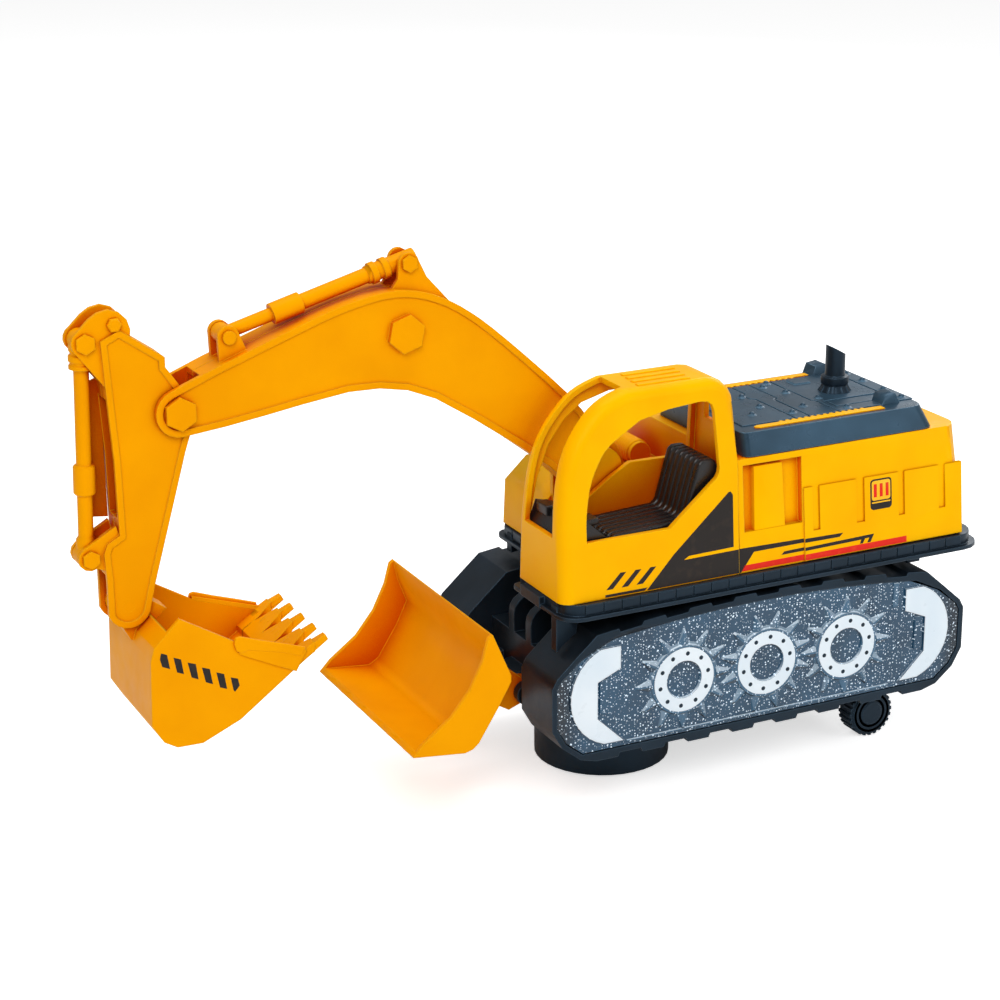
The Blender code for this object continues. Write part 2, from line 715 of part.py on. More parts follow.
def add_turntable():
    """The swivelling drive head: a disc on a hollow spindle, with hangers for the drive axle."""
    pivot = (POD_X, 0, TURNTABLE_TOP_Z)
    radius = POD_NECK_RADIUS - POD_WALL - 0.6
    table = part(
        "turntable",
        rod(radius, (POD_X, 0, TURNTABLE_BOTTOM_Z), (POD_X, 0, TURNTABLE_TOP_Z), 32),
        "nylon",
        pivot,
    )
    join(table, rod(SPINDLE_RADIUS, (POD_X, 0, TURNTABLE_BOTTOM_Z + 1), (POD_X, 0, PLATE_TOP_Z + 1), 28))
    join(table, rod(SPINDLE_RADIUS + 2, (POD_X, 0, PLATE_TOP_Z + GAP), (POD_X, 0, PLATE_TOP_Z + 2), 28))
    for side in SIDES:
        y = side * (DRIVE_WHEEL_Y - DRIVE_WHEEL_WIDTH / 2 - 3)
        foot = arc((POD_X, DRIVE_WHEEL_RADIUS), 4.0, 180, 360, 6)
        hanger = [(POD_X + 5, TURNTABLE_BOTTOM_Z + 1), (POD_X - 5, TURNTABLE_BOTTOM_Z + 1), *foot]
        join(table, side_slab(hanger, y - 1.25, y + 1.25))
    z = DRIVE_WHEEL_RADIUS
    cut(table, rod(SHAFT_RADIUS + GAP, (POD_X, -20, z), (POD_X, 20, z), 16, turn=math.pi / 16))
    cut(table, rod(SHAFT_RADIUS + GAP, (POD_X, 0, 10), (POD_X, 0, PLATE_TOP_Z + 4), 12))


def toothed(centre, radius, depth, teeth):
    """Outline of a small spur gear."""
    found = []
    for tooth in range(teeth):
        for offset, reach in (
            (-0.35, radius - depth), (-0.15, radius), (0.15, radius), (0.35, radius - depth)
        ):
            angle = 2 * math.pi * (tooth + offset) / teeth
            found.append((centre[0] + reach * math.cos(angle), centre[1] + reach * math.sin(angle)))
    return found


def add_power_train():
    centre_top = MOTOR_Z - MOTOR_PINION_RADIUS - GAP
    gear = part(
        "centre_gear",
        rod(SHAFT_RADIUS, (POD_X, 0, 13), (POD_X, 0, centre_top + 1), 16),
        "nylon",
        (POD_X, 0, centre_top),
    )
    join(
        gear,
        plan_slab(
            toothed((POD_X, 0), CROWN_GEAR_RADIUS, 1.2, CROWN_GEAR_TEETH), centre_top - 2.5, centre_top
        ),
    )
    pinion_z = (12.6, 16.0)
    join(gear, plan_slab(toothed((POD_X, 0), SMALL_PINION_RADIUS, 0.8, 10), *pinion_z))
    axle_z = DRIVE_WHEEL_RADIUS
    reach = DRIVE_WHEEL_Y + DRIVE_WHEEL_WIDTH / 2
    pivot = (POD_X, 0, axle_z)
    axle = part(
        "drive_axle", rod(SHAFT_RADIUS, (POD_X, -reach, axle_z), (POD_X, reach, axle_z), 16), "steel", pivot
    )
    face = SMALL_PINION_RADIUS + GAP
    join(
        axle, side_slab(toothed((POD_X, axle_z), AXLE_GEAR_RADIUS, 1.0, AXLE_GEAR_TEETH), face, face + 2.2)
    )
    for side, label in zip(SIDES, ("left", "right")):
        low, high = sorted((side * (reach - DRIVE_WHEEL_WIDTH), side * reach))
        wheel = part(
            f"drive_wheel_{label}",
            rod(DRIVE_WHEEL_RADIUS, (POD_X, low, axle_z), (POD_X, high, axle_z), 32),
            "black",
            pivot,
        )
        cut(wheel, rod(SHAFT_RADIUS + GAP, (POD_X, low - 1, axle_z), (POD_X, high + 1, axle_z), 12))
    motor = part(
        "motor", rod(MOTOR_RADIUS, (MOTOR_X, 0, MOTOR_Z), (MOTOR_X + MOTOR_LENGTH, 0, MOTOR_Z), 24), "steel"
    )
    cut(motor, rod(1.3, (MOTOR_X - 1, 0, MOTOR_Z), (MOTOR_X + 3, 0, MOTOR_Z), 12))
    pinion_x = POD_X + CROWN_GEAR_RADIUS - 3.6
    start = (pinion_x, 0, MOTOR_Z)
    pinion = part("motor_pinion", rod(1.0, start, (MOTOR_X + 2.5, 0, MOTOR_Z), 12), "brass", start)
    turned = Matrix(((0, 0, 1, 0), (1, 0, 0, 0), (0, 1, 0, 0), (0, 0, 0, 1)))
    teeth = toothed((0, MOTOR_Z), MOTOR_PINION_RADIUS, 0.8, MOTOR_PINION_TEETH)
    join(pinion, outline_mesh(teeth, pinion_x, pinion_x + 3.4, turned, "teeth"))


def add_rear_wheels():
    x, z = REAR_AXLE_X, REAR_WHEEL_RADIUS
    pivot = (x, 0, z)
    reach = REAR_WHEEL_OUTER_Y - 1.5
    part("rear_axle", rod(SHAFT_RADIUS, (x, -reach, z), (x, reach, z), 16), "steel", pivot)
    for side, label in zip(SIDES, ("left", "right")):
        outer = side * REAR_WHEEL_OUTER_Y
        inner = side * (REAR_WHEEL_OUTER_Y - REAR_WHEEL_WIDTH)
        tread = []
        ribs = 24
        for rib in range(ribs):
            for offset, radius in ((-0.25, z), (0.25, z), (0.25, z - 0.7), (0.75, z - 0.7)):
                angle = 2 * math.pi * (rib + offset) / ribs
                tread.append((x + radius * math.cos(angle), z + radius * math.sin(angle)))
        wheel = part(
            f"rear_wheel_{label}", side_slab(tread, *sorted((inner, outer - side * 1.0))), "black", pivot
        )
        join(wheel, rod(z - 1.6, (x, outer - side * 2.0, z), (x, outer - side * 0.3, z), 28))
        join(wheel, rod(5.0, (x, outer - side * 1.5, z), (x, outer, z), 18))
        join(wheel, rod(3.5, (x, inner + side * 1.0, z), (x, side * (CHASSIS_HALF_WIDTH - 2 + GAP), z), 18))
        cut(wheel, rod(SHAFT_RADIUS + GAP, (x, side * 20, z), (x, side * (reach + GAP), z), 12))


def add_electrics():
    top = PLATE_TOP_Z + GAP
    span = 3 + SWITCH_TRAVEL
    body_low = (SWITCH_X - 6, SWITCH_Y - 4, top)
    body = part("switch_body", box(body_low, (SWITCH_X + span + 3, SWITCH_Y + 4, top + 7)), "steel")
    cut(
        body,
        box(
            (SWITCH_X - 3 - GAP, SWITCH_Y - 2 - GAP, top - 1),
            (SWITCH_X + span + GAP, SWITCH_Y + 2 + GAP, top + 3),
        ),
    )
    knob_low = (SWITCH_X - 3, SWITCH_Y - 2, PLATE_BOTTOM_Z - 1.5)
    part(
        "switch_knob",
        box(knob_low, (SWITCH_X + 3, SWITCH_Y + 2, top + 2.5)),
        "black",
        (SWITCH_X, SWITCH_Y, top),
    )
    speaker = part(
        "speaker", rod(SPEAKER_RADIUS, (SPEAKER_X, 0, top), (SPEAKER_X, 0, top + 2.5), 32), "black"
    )
    join(speaker, rod(7.0, (SPEAKER_X, 0, top + 2), (SPEAKER_X, 0, top + 6), 18))
    part("circuit_board", box((6, -14, BOARD_TOP_Z - BOARD_THICKNESS), (50, 14, BOARD_TOP_Z)), "board")
    for side, label in zip(SIDES, ("left", "right")):
        base = side * (TRACK_INNER_Y + TRACK_WALL + GAP)
        for index, x in enumerate((-LAMP_X, LAMP_X)):
            z = TRACK_MIDDLE_Z + 8 * (1 - index)
            lamp = part(
                f"lamp_{label}_{index + 1}",
                rod(LAMP_RADIUS + 0.5, (x, base, z), (x, base + side * 1.2, z), 16),
                "nylon",
            )
            join(lamp, rod(LAMP_RADIUS, (x, base + side * 0.8, z), (x, base + side * 8, z), 12))
        add_lead(f"red_lead_{label}", side, base, 2.0, "red")
        add_lead(f"yellow_lead_{label}", side, base, 4.0, "lead_yellow")


def add_lead(name, side, base, offset, colour):
    """A lamp lead that loops along the web between the two lamps."""
    start = Vector((-LAMP_X + LAMP_RADIUS + 1.5, 0, TRACK_MIDDLE_Z + 8 + offset))
    end = Vector((LAMP_X - LAMP_RADIUS - 1.5, 0, TRACK_MIDDLE_Z + offset))
    curve = bpy.data.curves.new(name, "CURVE")
    curve.dimensions = "3D"
    curve.bevel_depth = 0.6 * MM
    curve.bevel_resolution = 1
    curve.use_fill_caps = True
    spline = curve.splines.new("POLY")
    steps = 12
    spline.points.add(steps)
    for step in range(steps + 1):
        share = step / steps
        point = start.lerp(end, share)
        point.z += 5 * math.sin(math.pi * share) + 1.5 * math.sin(3 * math.pi * share)
        point.y = base + side * (0.6 + 6 * math.sin(math.pi * share))
        spline.points[step].co = (*(point * MM), 1)
    lead = bpy.data.objects.new(name, curve)
    curve.materials.append(material(colour))
    parts.objects.link(lead)
    lead.parent = root


# Superstructure


def platform_outline(inset):
    """Plan of the platform: the cab side reaches further forward than the far side."""
    wide = PLATFORM_HALF_WIDTH - inset
    corners = [
        (PLATFORM_CAB_FRONT_X + inset, -wide, 9.0),
        (PLATFORM_REAR_X - inset, -wide, 11.0),
        (PLATFORM_REAR_X - inset, wide, 11.0),
        (PLATFORM_FAR_FRONT_X + inset, wide, 6.0),
        (PLATFORM_FAR_FRONT_X + inset, PLATFORM_STEP_Y - inset, 1.0),
        (PLATFORM_CAB_FRONT_X + inset, PLATFORM_STEP_Y - inset, 3.5),
    ]
    return rounded(corners, 1.0, 4)


def add_platform():
    bottom, top = PLATFORM_BOTTOM_Z, PLATFORM_TOP_Z
    platform = part("platform", plan_slab(platform_outline(0), bottom, bottom + LIP_HEIGHT), "black")
    join(platform, plan_slab(platform_outline(LIP_WIDTH), bottom + 0.5, top))
    cut(platform, plan_slab(platform_outline(LIP_WIDTH + 2), bottom - 1, top - 2.5))
    for side in SIDES:
        y = side * POST_Y
        rear = [(76.5, top - 2), (77.0, 80.9), (83.5, 80.9), (83.5, top - 2)]
        if side < 0:
            front = [(-94.0, top - 2), (-94.0, 71.2), (-90.6, 74.2), (-85.0, 78.2), (-83.0, top - 2)]
        else:
            front = [(-71.4, top - 2), (-71.4, 82.6), (-64.0, 83.6), (-62.0, top - 2)]
        for post in (front, rear):
            join(platform, side_slab(post, y - POST_THICKNESS / 2, y + POST_THICKNESS / 2))
    tab = (PLATFORM_CAB_FRONT_X - 0.6, -34, bottom + 0.2)
    join(platform, box(tab, (PLATFORM_CAB_FRONT_X + 3, -17, top - 1.5)))


def cab_profile(inset, rear_inset=None):
    """Side view of the cab: upright front, one long curve to the roof, upright rear."""
    front = [(CAB_FRONT_X, CAB_SHOULDER_Z), (-92.8, 140.0), (-88.4, 155.3), (-79.6, 167.6), (-71.5, 173.6)]
    front.append((-62.0, CAB_ROOF_Z))
    corner = (CAB_REAR_X - CAB_REAR_RADIUS, CAB_ROOF_Z - CAB_REAR_RADIUS)
    rear = list(reversed(arc(corner, CAB_REAR_RADIUS, 0, 90, 5)))
    base = PLATFORM_TOP_Z + 0.2
    whole = [(CAB_FRONT_X, base)] + smooth(front) + rear + [(CAB_REAR_X, base)]
    outline = shrunk(whole, inset)[1:-1]
    low = CAB_REAR_X - (inset if rear_inset is None else rear_inset)
    return [(CAB_FRONT_X + inset, base)] + outline + [(low, BODY_ROOF_Z), (low, base)]


def cab_mesh(base):
    """The cab's block: its near side has a large edge round all the way over the arch."""
    near, far = -BODY_HALF_WIDTH, -BAY_HALF_WIDTH
    sections = []
    for step in range(CAB_ROUND_STEPS + 1):
        turn = math.radians(90 * step / CAB_ROUND_STEPS)
        inset = CAB_NEAR_ROUND * (1 - math.sin(turn))
        sections.append((near + CAB_NEAR_ROUND * (1 - math.cos(turn)), cab_profile(inset, 0.0)))
    for step in range(CAB_ROUND_STEPS + 1):
        turn = math.radians(90 * (1 - step / CAB_ROUND_STEPS))
        inset = CAB_FAR_ROUND * (1 - math.sin(turn))
        sections.append((far - CAB_FAR_ROUND * (1 - math.cos(turn)), cab_profile(inset, 0.0)))
    return lean(side_loft(sections), CAB_LEAN, base)


def add_body_shell():
    base = PLATFORM_TOP_Z + GAP
    wide = BODY_HALF_WIDTH
    wall = BODY_WALL
    roof = BODY_ROOF_Z
    housing = lean_rear(lean(housing_mesh(0, base, roof), DRAFT, base), DRAFT, base)
    body = part("body_shell", housing, "yellow")

    deck = [(BAY_FRONT_X, base), (BAY_FRONT_X, BAY_FRONT_Z), (-60, DECK_Z), (-9, DECK_Z), (-9, base)]
    join(body, lean(side_slab(deck, BAY_HALF_WIDTH, wide), DRAFT, base, low_side=False))
    bay = [(BAY_FRONT_X, base), (BAY_FRONT_X, BAY_FRONT_Z), (BAY_FRONT_X + wall, BAY_FRONT_Z)]
    bay += [(BAY_FRONT_X + wall, BAY_FLOOR_Z), (-9, BAY_FLOOR_Z), (-9, base)]
    join(body, side_slab(bay, -BAY_HALF_WIDTH - 1, BAY_HALF_WIDTH + 1))

    join(body, cab_mesh(base))
    cut(body, lean_rear(lean(housing_mesh(wall, base - 1, roof - wall), DRAFT, base), DRAFT, base))
    inner_deck = [
        (BAY_FRONT_X + wall, base - 1), (BAY_FRONT_X + wall, BAY_FRONT_Z - 1), (-60 + 1, DECK_Z - wall)
    ]
    inner_deck += [(HOUSING_FRONT_X + 8, DECK_Z - wall), (HOUSING_FRONT_X + 8, base - 1)]
    cut(body, lean(side_slab(inner_deck, BAY_HALF_WIDTH + wall, wide - wall), DRAFT, base, low_side=False))
    inner_bay = [(BAY_FRONT_X + wall, base - 1), (BAY_FRONT_X + wall, BAY_FLOOR_Z - wall)]
    inner_bay += [(HOUSING_FRONT_X + 8, BAY_FLOOR_Z - wall), (HOUSING_FRONT_X + 8, base - 1)]
    cut(body, side_slab(inner_bay, -BAY_HALF_WIDTH + 0.2, BAY_HALF_WIDTH + wall + 1))
    cut_cab(body, base)
    x, z = BOOM_PIVOT
    for low, high in (
        (-BAY_HALF_WIDTH - 1.6, -BAY_HALF_WIDTH + 0.9), (BAY_HALF_WIDTH - 0.9, BAY_HALF_WIDTH + 1.6)
    ):
        ear = [
            (x - EAR_RADIUS, z - 22),
            *reversed(arc((x, z), EAR_RADIUS, 0, 180, 12)),
            (x + EAR_RADIUS, z - 22),
        ]
        join(body, side_slab(ear, low, high))
    cut(body, rod(PIN_RADIUS + GAP, (x, -BAY_HALF_WIDTH - 0.8, z), (x, BAY_HALF_WIDTH + 0.8, z), 14))
    add_body_details(body, base)


def housing_mesh(inset, low, high):
    front = HOUSING_FRONT_X + inset
    rear = BODY_REAR_X - inset
    wide = BODY_HALF_WIDTH - inset
    corners = [(front, -wide, 0), (rear, -wide, 9.0), (rear, wide, 9.0), (front, wide, 0)]
    return plan_slab(rounded(corners, 1.0, 4), low, high)


def cut_cab(body, base):
    """Hollows the cab and opens its windows."""
    wide = BODY_HALF_WIDTH
    hollow = lean(
        side_slab(
            [(x, z - 1 if z < 94 else z) for x, z in cab_profile(CAB_WALL)],
            -wide + CAB_WALL,
            -BAY_HALF_WIDTH - CAB_WALL,
        ),
        CAB_LEAN,
        base,
    )
    cut(body, hollow)
    window = smooth(
        [(-82.6, 117.6), (-82.4, 128.0), (-80.4, 140.0), (-76.5, 149.0), (-71.0, 156.0), (-57.0, 164.4)], 3
    )
    window += [(-44.0, 167.2), (-29.5, 168.4), (-26.0, 168.0), (-23.6, 166.4), (-22.6, 163.5)]
    window += [(-20.6, 140.0), (-20.9, 137.6), (-22.0, 135.6), (-44.3, 117.6)]
    cut(body, side_slab(window, -wide - 3, -wide + 12))
    far_sill = [(-91.0, 119.5), (-66.5, 122.4), (-60.6, 126.7), (-53.9, 131.6), (-45.0, 136.9)]
    far_sill.append((-17.0, 136.4))
    far_head = [(-17.0, 166.0), (-29.0, 170.5), (-56.5, 170.0), (-69.0, 166.5), (-77.0, 160.0)]
    far_head += [(-83.5, 150.5), (-88.0, 137.0)]
    cut(body, side_slab(far_sill + far_head, -BAY_HALF_WIDTH - 11, -BAY_HALF_WIDTH + 3))
    screen = [(-105, 119.5), (-105, 190), (-61.5, 190), (-61.5, 172.0), (-73.0, 165.5), (-82.0, 150.0)]
    screen.append((-89.0, 119.5))
    opening = side_slab(screen, -wide + CAB_POST_WIDTH, -BAY_HALF_WIDTH - CAB_FAR_POST_WIDTH)
    cut(body, lean(opening, CAB_LEAN, base))
    cut(body, box((CAB_REAR_X - 5, -45.5, 154.4), (CAB_REAR_X + 5, -25.2, 166.0)))


def add_body_details(body, base):
    wide = BODY_HALF_WIDTH
    for side in SIDES:

        def both_ways(outline, deep, proud):
            low, high = sorted((side * (wide - deep), side * (wide + proud)))
            mesh = side_slab(outline, low, high)
            for vertex in mesh.vertices:
                vertex.co.y -= side * DRAFT * (vertex.co.z - base * MM)
            return mesh

        backing = [(-11.0, 107.6), (21.5, 107.6), (21.5, 140.0), (-11.0, 140.0)]
        join(body, both_ways(backing, BODY_WALL + RECESS_DEPTH, -0.5))
        recess = [(-8.9, 110.3), (19.3, 110.3), (19.5, 138.4), (-8.9, 138.4)]
        cut(body, both_ways(recess, RECESS_DEPTH, 3))
        rib = [(-3.9, 110.0), (10.9, 110.0), (10.2, 137.2), (-3.4, 137.2)]
        join(body, both_ways(rib, RECESS_DEPTH + 0.5, -0.3))
        comb = [(19.9, base + 0.4), (100.0, base + 0.4), (100.0, 125.0)]
        for low_x, high_x in reversed(((24.2, 27.6), (46.0, 50.0), (67.3, 70.4), (88.0, 91.4))):
            comb += [(high_x, 125.0), (high_x, 106.2), (low_x, 106.2), (low_x, 125.0)]
        comb.append((19.9, 125.0))
        join(body, both_ways(comb, 1.0, 0.8))
    drum_z = DECK_Z + DRUM_RADIUS - 0.6
    join(body, rod(DRUM_RADIUS, (DRUM_X, BAY_HALF_WIDTH + 2, drum_z), (DRUM_X, 44, drum_z), 14))
    for y in (STRIP_NEAR_Y, STRIP_FAR_Y):
        join(body, side_slab(strip_outline(), y - STRIP_WIDTH / 2 + GAP, y + STRIP_WIDTH / 2 - GAP))


def strip_outline():
    """A toothed rib that stands up through a slot of the hood."""
    top = HOOD_TOP_Z + 0.3
    found = [(STRIP_FRONT_X + GAP, BODY_ROOF_Z - 1), (STRIP_FRONT_X + GAP, top)]
    start = STRIP_FRONT_X + 8
    pitch = (STRIP_REAR_X - 8 - start) / STRIP_TEETH
    for tooth in range(STRIP_TEETH):
        x = start + tooth * pitch
        found += [(x, top), (x + pitch / 2, top - 1.2)]
    return found + [(STRIP_REAR_X - GAP, top), (STRIP_REAR_X - GAP, BODY_ROOF_Z - 1)]


def add_cab_interior():
    floor = PLATFORM_TOP_Z + GAP
    low_y, high_y = -BODY_HALF_WIDTH + CAB_WALL + 2.5, -BAY_HALF_WIDTH - CAB_WALL - 2.0
    front = CAB_FRONT_X + CAB_WALL + GAP
    desk = [
        (front, floor), (front, 119.0), (-88.5, 127.5), (-81.0, 125.5), (-69.0, 115.0), (-67.0, floor + 2)
    ]
    desk += [(-20.0, floor + 2), (-20.0, floor)]
    part("cab_console", side_slab(desk, low_y, high_y), "black")
    rest = floor + 2 + GAP
    seat = [
        (-66.0, 107.0),
        (-68.5, 110.5),
        (-68.0, 115.0),
        (-33.0, 117.0),
        (-27.0, 140.5),
        (-20.5, 141.0),
        (-19.0, 138.0),
    ]
    seat += [(-22.0, 107.5), (-30.0, 106.0), (-32.0, rest), (-58.0, rest), (-60.0, 106.0)]
    low_y, high_y = low_y + SEAT_MARGIN, high_y - SEAT_MARGIN
    made = part("seat", side_slab(rounded(seat, 1.5, 2), low_y, high_y), "black")
    pitch = (high_y - low_y) / SEAT_FLUTES
    for flute in range(1, SEAT_FLUTES):
        y = low_y + flute * pitch
        groove = [
            (-70.0, 113.6), (-34.0, 115.6), (-28.2, 142.0), (-36.0, 142.0), (-40.0, 120.0), (-70.0, 118.0)
        ]
        cut(made, side_slab(groove, y - 0.6, y + 0.6))


def add_hood():
    low_z = BODY_ROOF_Z + GAP
    hood = part("hood", hood_mesh(0, low_z, HOOD_TOP_Z), "black")
    cut(hood, hood_mesh(HOOD_WALL, low_z - 1, HOOD_TOP_Z - HOOD_WALL))
    half = STRIP_WIDTH / 2
    for y in (STRIP_NEAR_Y, STRIP_FAR_Y):
        cut(hood, box((STRIP_FRONT_X, y - half, low_z - 2), (STRIP_REAR_X, y + half, HOOD_TOP_Z + 2)))
    cut(
        hood,
        rod(
            EXHAUST_RADIUS - 1,
            (EXHAUST_X, EXHAUST_Y, low_z - 2),
            (EXHAUST_X, EXHAUST_Y, HOOD_TOP_Z + 2),
            18,
        ),
    )
    for y in (STRIP_NEAR_Y + 7.5, STRIP_FAR_Y + 2.5):
        wedge = [
            (STRIP_REAR_X + 2, HOOD_TOP_Z - 1),
            (STRIP_REAR_X + 4, HOOD_TOP_Z + 4),
            (STRIP_REAR_X + 9, HOOD_TOP_Z + 4.6),
        ]
        wedge.append((STRIP_REAR_X + 12, HOOD_TOP_Z - 1))
        join(hood, side_slab(wedge, y - 4.5, y + 3.5))
    pipe = part(
        "exhaust_pipe",
        rod(
            EXHAUST_COLLAR_RADIUS,
            (EXHAUST_X, EXHAUST_Y, HOOD_TOP_Z + GAP),
            (EXHAUST_X, EXHAUST_Y, 157.2),
            24,
        ),
        "black",
    )
    join(
        pipe,
        rod(
            EXHAUST_RADIUS,
            (EXHAUST_X, EXHAUST_Y, 155),
            (EXHAUST_X, EXHAUST_Y, EXHAUST_TOP_Z + 2),
            24,
            EXHAUST_RADIUS - 0.3,
        ),
    )
    join(
        pipe,
        rod(
            EXHAUST_RADIUS - 1 - GAP,
            (EXHAUST_X, EXHAUST_Y, HOOD_TOP_Z - 4),
            (EXHAUST_X, EXHAUST_Y, 155),
            18,
        ),
    )
    slant = [
        (EXHAUST_X - 8, EXHAUST_TOP_Z + 1.2),
        (EXHAUST_X + 8, EXHAUST_TOP_Z - 8.0),
        (EXHAUST_X + 8, 190),
        (EXHAUST_X - 8, 190),
    ]
    cut(pipe, side_slab(slant, EXHAUST_Y - 8, EXHAUST_Y + 8))


def hood_mesh(inset, low, high):
    corners = [
        (HOOD_FRONT_X + inset, HOOD_NEAR_Y + inset, 3.0),
        (HOOD_REAR_X - inset, HOOD_NEAR_Y + inset, 6.0),
        (HOOD_REAR_X - inset, HOOD_FAR_Y - inset, 6.0),
        (HOOD_FRONT_X + inset, HOOD_FAR_Y - inset, 3.0),
    ]
    mesh = plan_slab(rounded(corners, 1.0, 3), low, high)
    mesh = lean(mesh, HOOD_INSET / (HOOD_TOP_Z - BODY_ROOF_Z), BODY_ROOF_Z)
    return lean_rear(mesh, 0.45, BODY_ROOF_Z)


# Digging arm


def boom_outline():
    """Side view of the boom, from the foot along the top to the tip and back along the underside."""
    foot = arc(BOOM_PIVOT, BOOM_FOOT_RADIUS, -128, 40, 12)
    top = [
        (-59.6, 155.2), (-70.0, 168.0), (-88.5, 185.8), (-104.1, 199.9), (-113.5, 207.3), (-122.3, 212.9)
    ]
    top += [
        (-131.4, 216.8), (-140.3, 218.9), (-150.0, 219.2), (-162.0, 217.2), (-174.9, 213.8), (-190.9, 208.3)
    ]
    top += [(-207.3, 202.5), (-219.8, 198.1)]
    tip = arc(STICK_PIVOT, BOOM_TIP_RADIUS, 110, 275, 10)
    low = [
        (-217.3, 174.4), (-201.0, 176.6), (-185.7, 178.9), (-166.4, 181.3), (-153.3, 181.0), (-141.3, 178.7)
    ]
    low += [(-129.2, 173.6), (-110.8, 161.7), (-92.0, 148.3), (-78.0, 137.5)]
    return foot + smooth(top, 2) + tip + low


def add_boom():
    x, z = BOOM_PIVOT
    pivot = (x, 0, z)
    outline = boom_outline()
    for side, label in zip(SIDES, ("left", "right")):
        outer = side * BOOM_HALF_WIDTH
        seam = side * GAP / 2
        half = part(f"boom_half_{label}", side_slab(outline, *sorted((outer, seam))), "orange", pivot)
        inner = side * (BOOM_HALF_WIDTH - ARM_WALL - 0.8)
        cut(half, side_slab(shrunk(outline, ARM_WALL), *sorted((inner, -seam))))
        cut(half, side_slab(shrunk(outline, 2.6), *sorted((outer + side, outer - side * 0.8))))
        join(half, boom_boss(side, x, z, BOOM_FOOT_RADIUS - 3.5))
        join(half, side_slab(boom_web(), *sorted((seam, outer - side))))
        slot_y = STICK_HALF_WIDTH + GAP
        fork = [(-260, 160), (BOOM_FORK_X, 160), (BOOM_FORK_X, 188), (BOOM_FORK_X + 1.5, 205), (-260, 205)]
        cut(half, side_slab(fork, *sorted((side * slot_y, -side * 3))))
        join(
            half,
            rod(
                8.0,
                (-141.5, outer + side * 1.8, 201.8),
                (-141.5, outer - side * 1.5, 201.8),
                6,
                turn=math.radians(12),
            ),
        )
        for lug in (front_lug(), rear_bracket()):
            near, far = sorted((side * LUG_PLATE_Y, side * (LUG_PLATE_Y + LUG_PLATE)))
            join(half, side_slab(lug, near, far))
        reach = side * 12
        cut(half, rod(PIN_RADIUS + GAP, (x, -reach, z), (x, reach, z), 14))
        cut(
            half,
            rod(
                PIN_RADIUS + GAP,
                (STICK_PIVOT[0], -reach, STICK_PIVOT[1]),
                (STICK_PIVOT[0], reach, STICK_PIVOT[1]),
                14,
            ),
        )
        for place in (ARM_CYLINDER_FRONT, ARM_CYLINDER_REAR):
            cut(
                half,
                rod(SMALL_PIN_RADIUS + GAP, (place[0], -reach, place[1]), (place[0], reach, place[1]), 12),
            )
    half_bay = BAY_HALF_WIDTH + 0.5
    part("boom_pin", rod(PIN_RADIUS, (x, -half_bay, z), (x, half_bay, z), 20), "steel")


def boom_boss(side, x, z, radius):
    low, high = sorted((side * GAP / 2, side * (BOOM_HALF_WIDTH - 1)))
    return rod(radius, (x, low, z), (x, high, z), 20)


def boom_web():
    """The wall that closes the boom behind the fork."""
    return [
        (BOOM_FORK_X, 174.2),
        (BOOM_FORK_X + 2.2, 174.2),
        (BOOM_FORK_X + 3.6, 195.8),
        (BOOM_FORK_X + 1.4, 195.0),
    ]


def front_lug():
    x, z = ARM_CYLINDER_FRONT
    return [(x - 4.0, 198.5), (x - 4.3, z), *arc((x, z), 4.4, 180, 20, 8), (x + 7.3, 202.0)]


def rear_bracket():
    x, z = ARM_CYLINDER_REAR
    return [
        (-146.5, 217.8), (-142.8, 223.0), *arc((x, z), 4.3, 170, 10, 8), (-130.5, 222.8), (-119.0, 209.8)
    ]


def add_arm_cylinder():
    """The moulded hydraulic cylinder on top of the boom, held by two pins."""
    front = Vector((ARM_CYLINDER_FRONT[0], 0, ARM_CYLINDER_FRONT[1]))
    rear = Vector((ARM_CYLINDER_REAR[0], 0, ARM_CYLINDER_REAR[1]))
    along = (rear - front).normalized()
    eye_half = LUG_PLATE_Y - GAP
    cylinder = part("arm_cylinder", rod(2.7, front, front + along * 26, 16), "orange")
    join(cylinder, rod(3.9, (front.x, -eye_half, front.z), (front.x, eye_half, front.z), 14))
    join(cylinder, rod(4.3, front + along * 20.5, front + along * 33.0, 14))
    join(cylinder, rod(3.2, front + along * 30, rear, 12))
    for start, stop, radius in ((62.0, 72.5, 3.7), (63.5, 66.0, 4.4), (68.5, 71.0, 4.4), (72.0, 83.0, 3.6)):
        join(cylinder, rod(radius, front + along * start, front + along * stop, 14))
    for place in (front, rear):
        cut(cylinder, rod(SMALL_PIN_RADIUS + GAP, (place.x, -9, place.z), (place.x, 9, place.z), 12))
    reach = LUG_PLATE_Y + LUG_PLATE + GAP
    for place, name, sides, head in (
        (front, "arm_cylinder_pin_front", 16, 2.7), (rear, "arm_cylinder_pin_rear", 6, 3.5)
    ):
        add_headed_pin(name, (place.x, place.z), SMALL_PIN_RADIUS, reach, head, 1.4, sides)


def add_headed_pin(name, place, radius, reach, head, thickness, sides, pivot=None):
    """A pin with a head at each end, lying across the arm."""
    x, z = place
    pin = part(name, rod(radius, (x, -reach - 0.5, z), (x, reach + 0.5, z), 20), "orange", pivot)
    for side in SIDES:
        join(pin, rod(head, (x, side * reach, z), (x, side * (reach + thickness), z), sides))


def stick_outline():
    """Side view of the stick."""
    x, z = STICK_PIVOT
    top = [(-263.8, 212.9), (-256.3, 216.4), (-239.3, 204.1), (-239.3, 200.2), (-233.6, 191.6)]
    middle = [(x + 6.3, z + 4.0), (x + 6.6, z), (x + 5.6, z - 6.0), (-233.2, 166.0), (-248.0, 115.4)]
    foot = arc(BUCKET_PIVOT, STICK_FOOT_RADIUS, -20, -160, 8)
    left = [(-267.0, 118.6), (-267.6, 129.9), (-266.1, 133.5), (-261.0, 136.4), (-261.3, 165.9)]
    return top + middle + foot + left


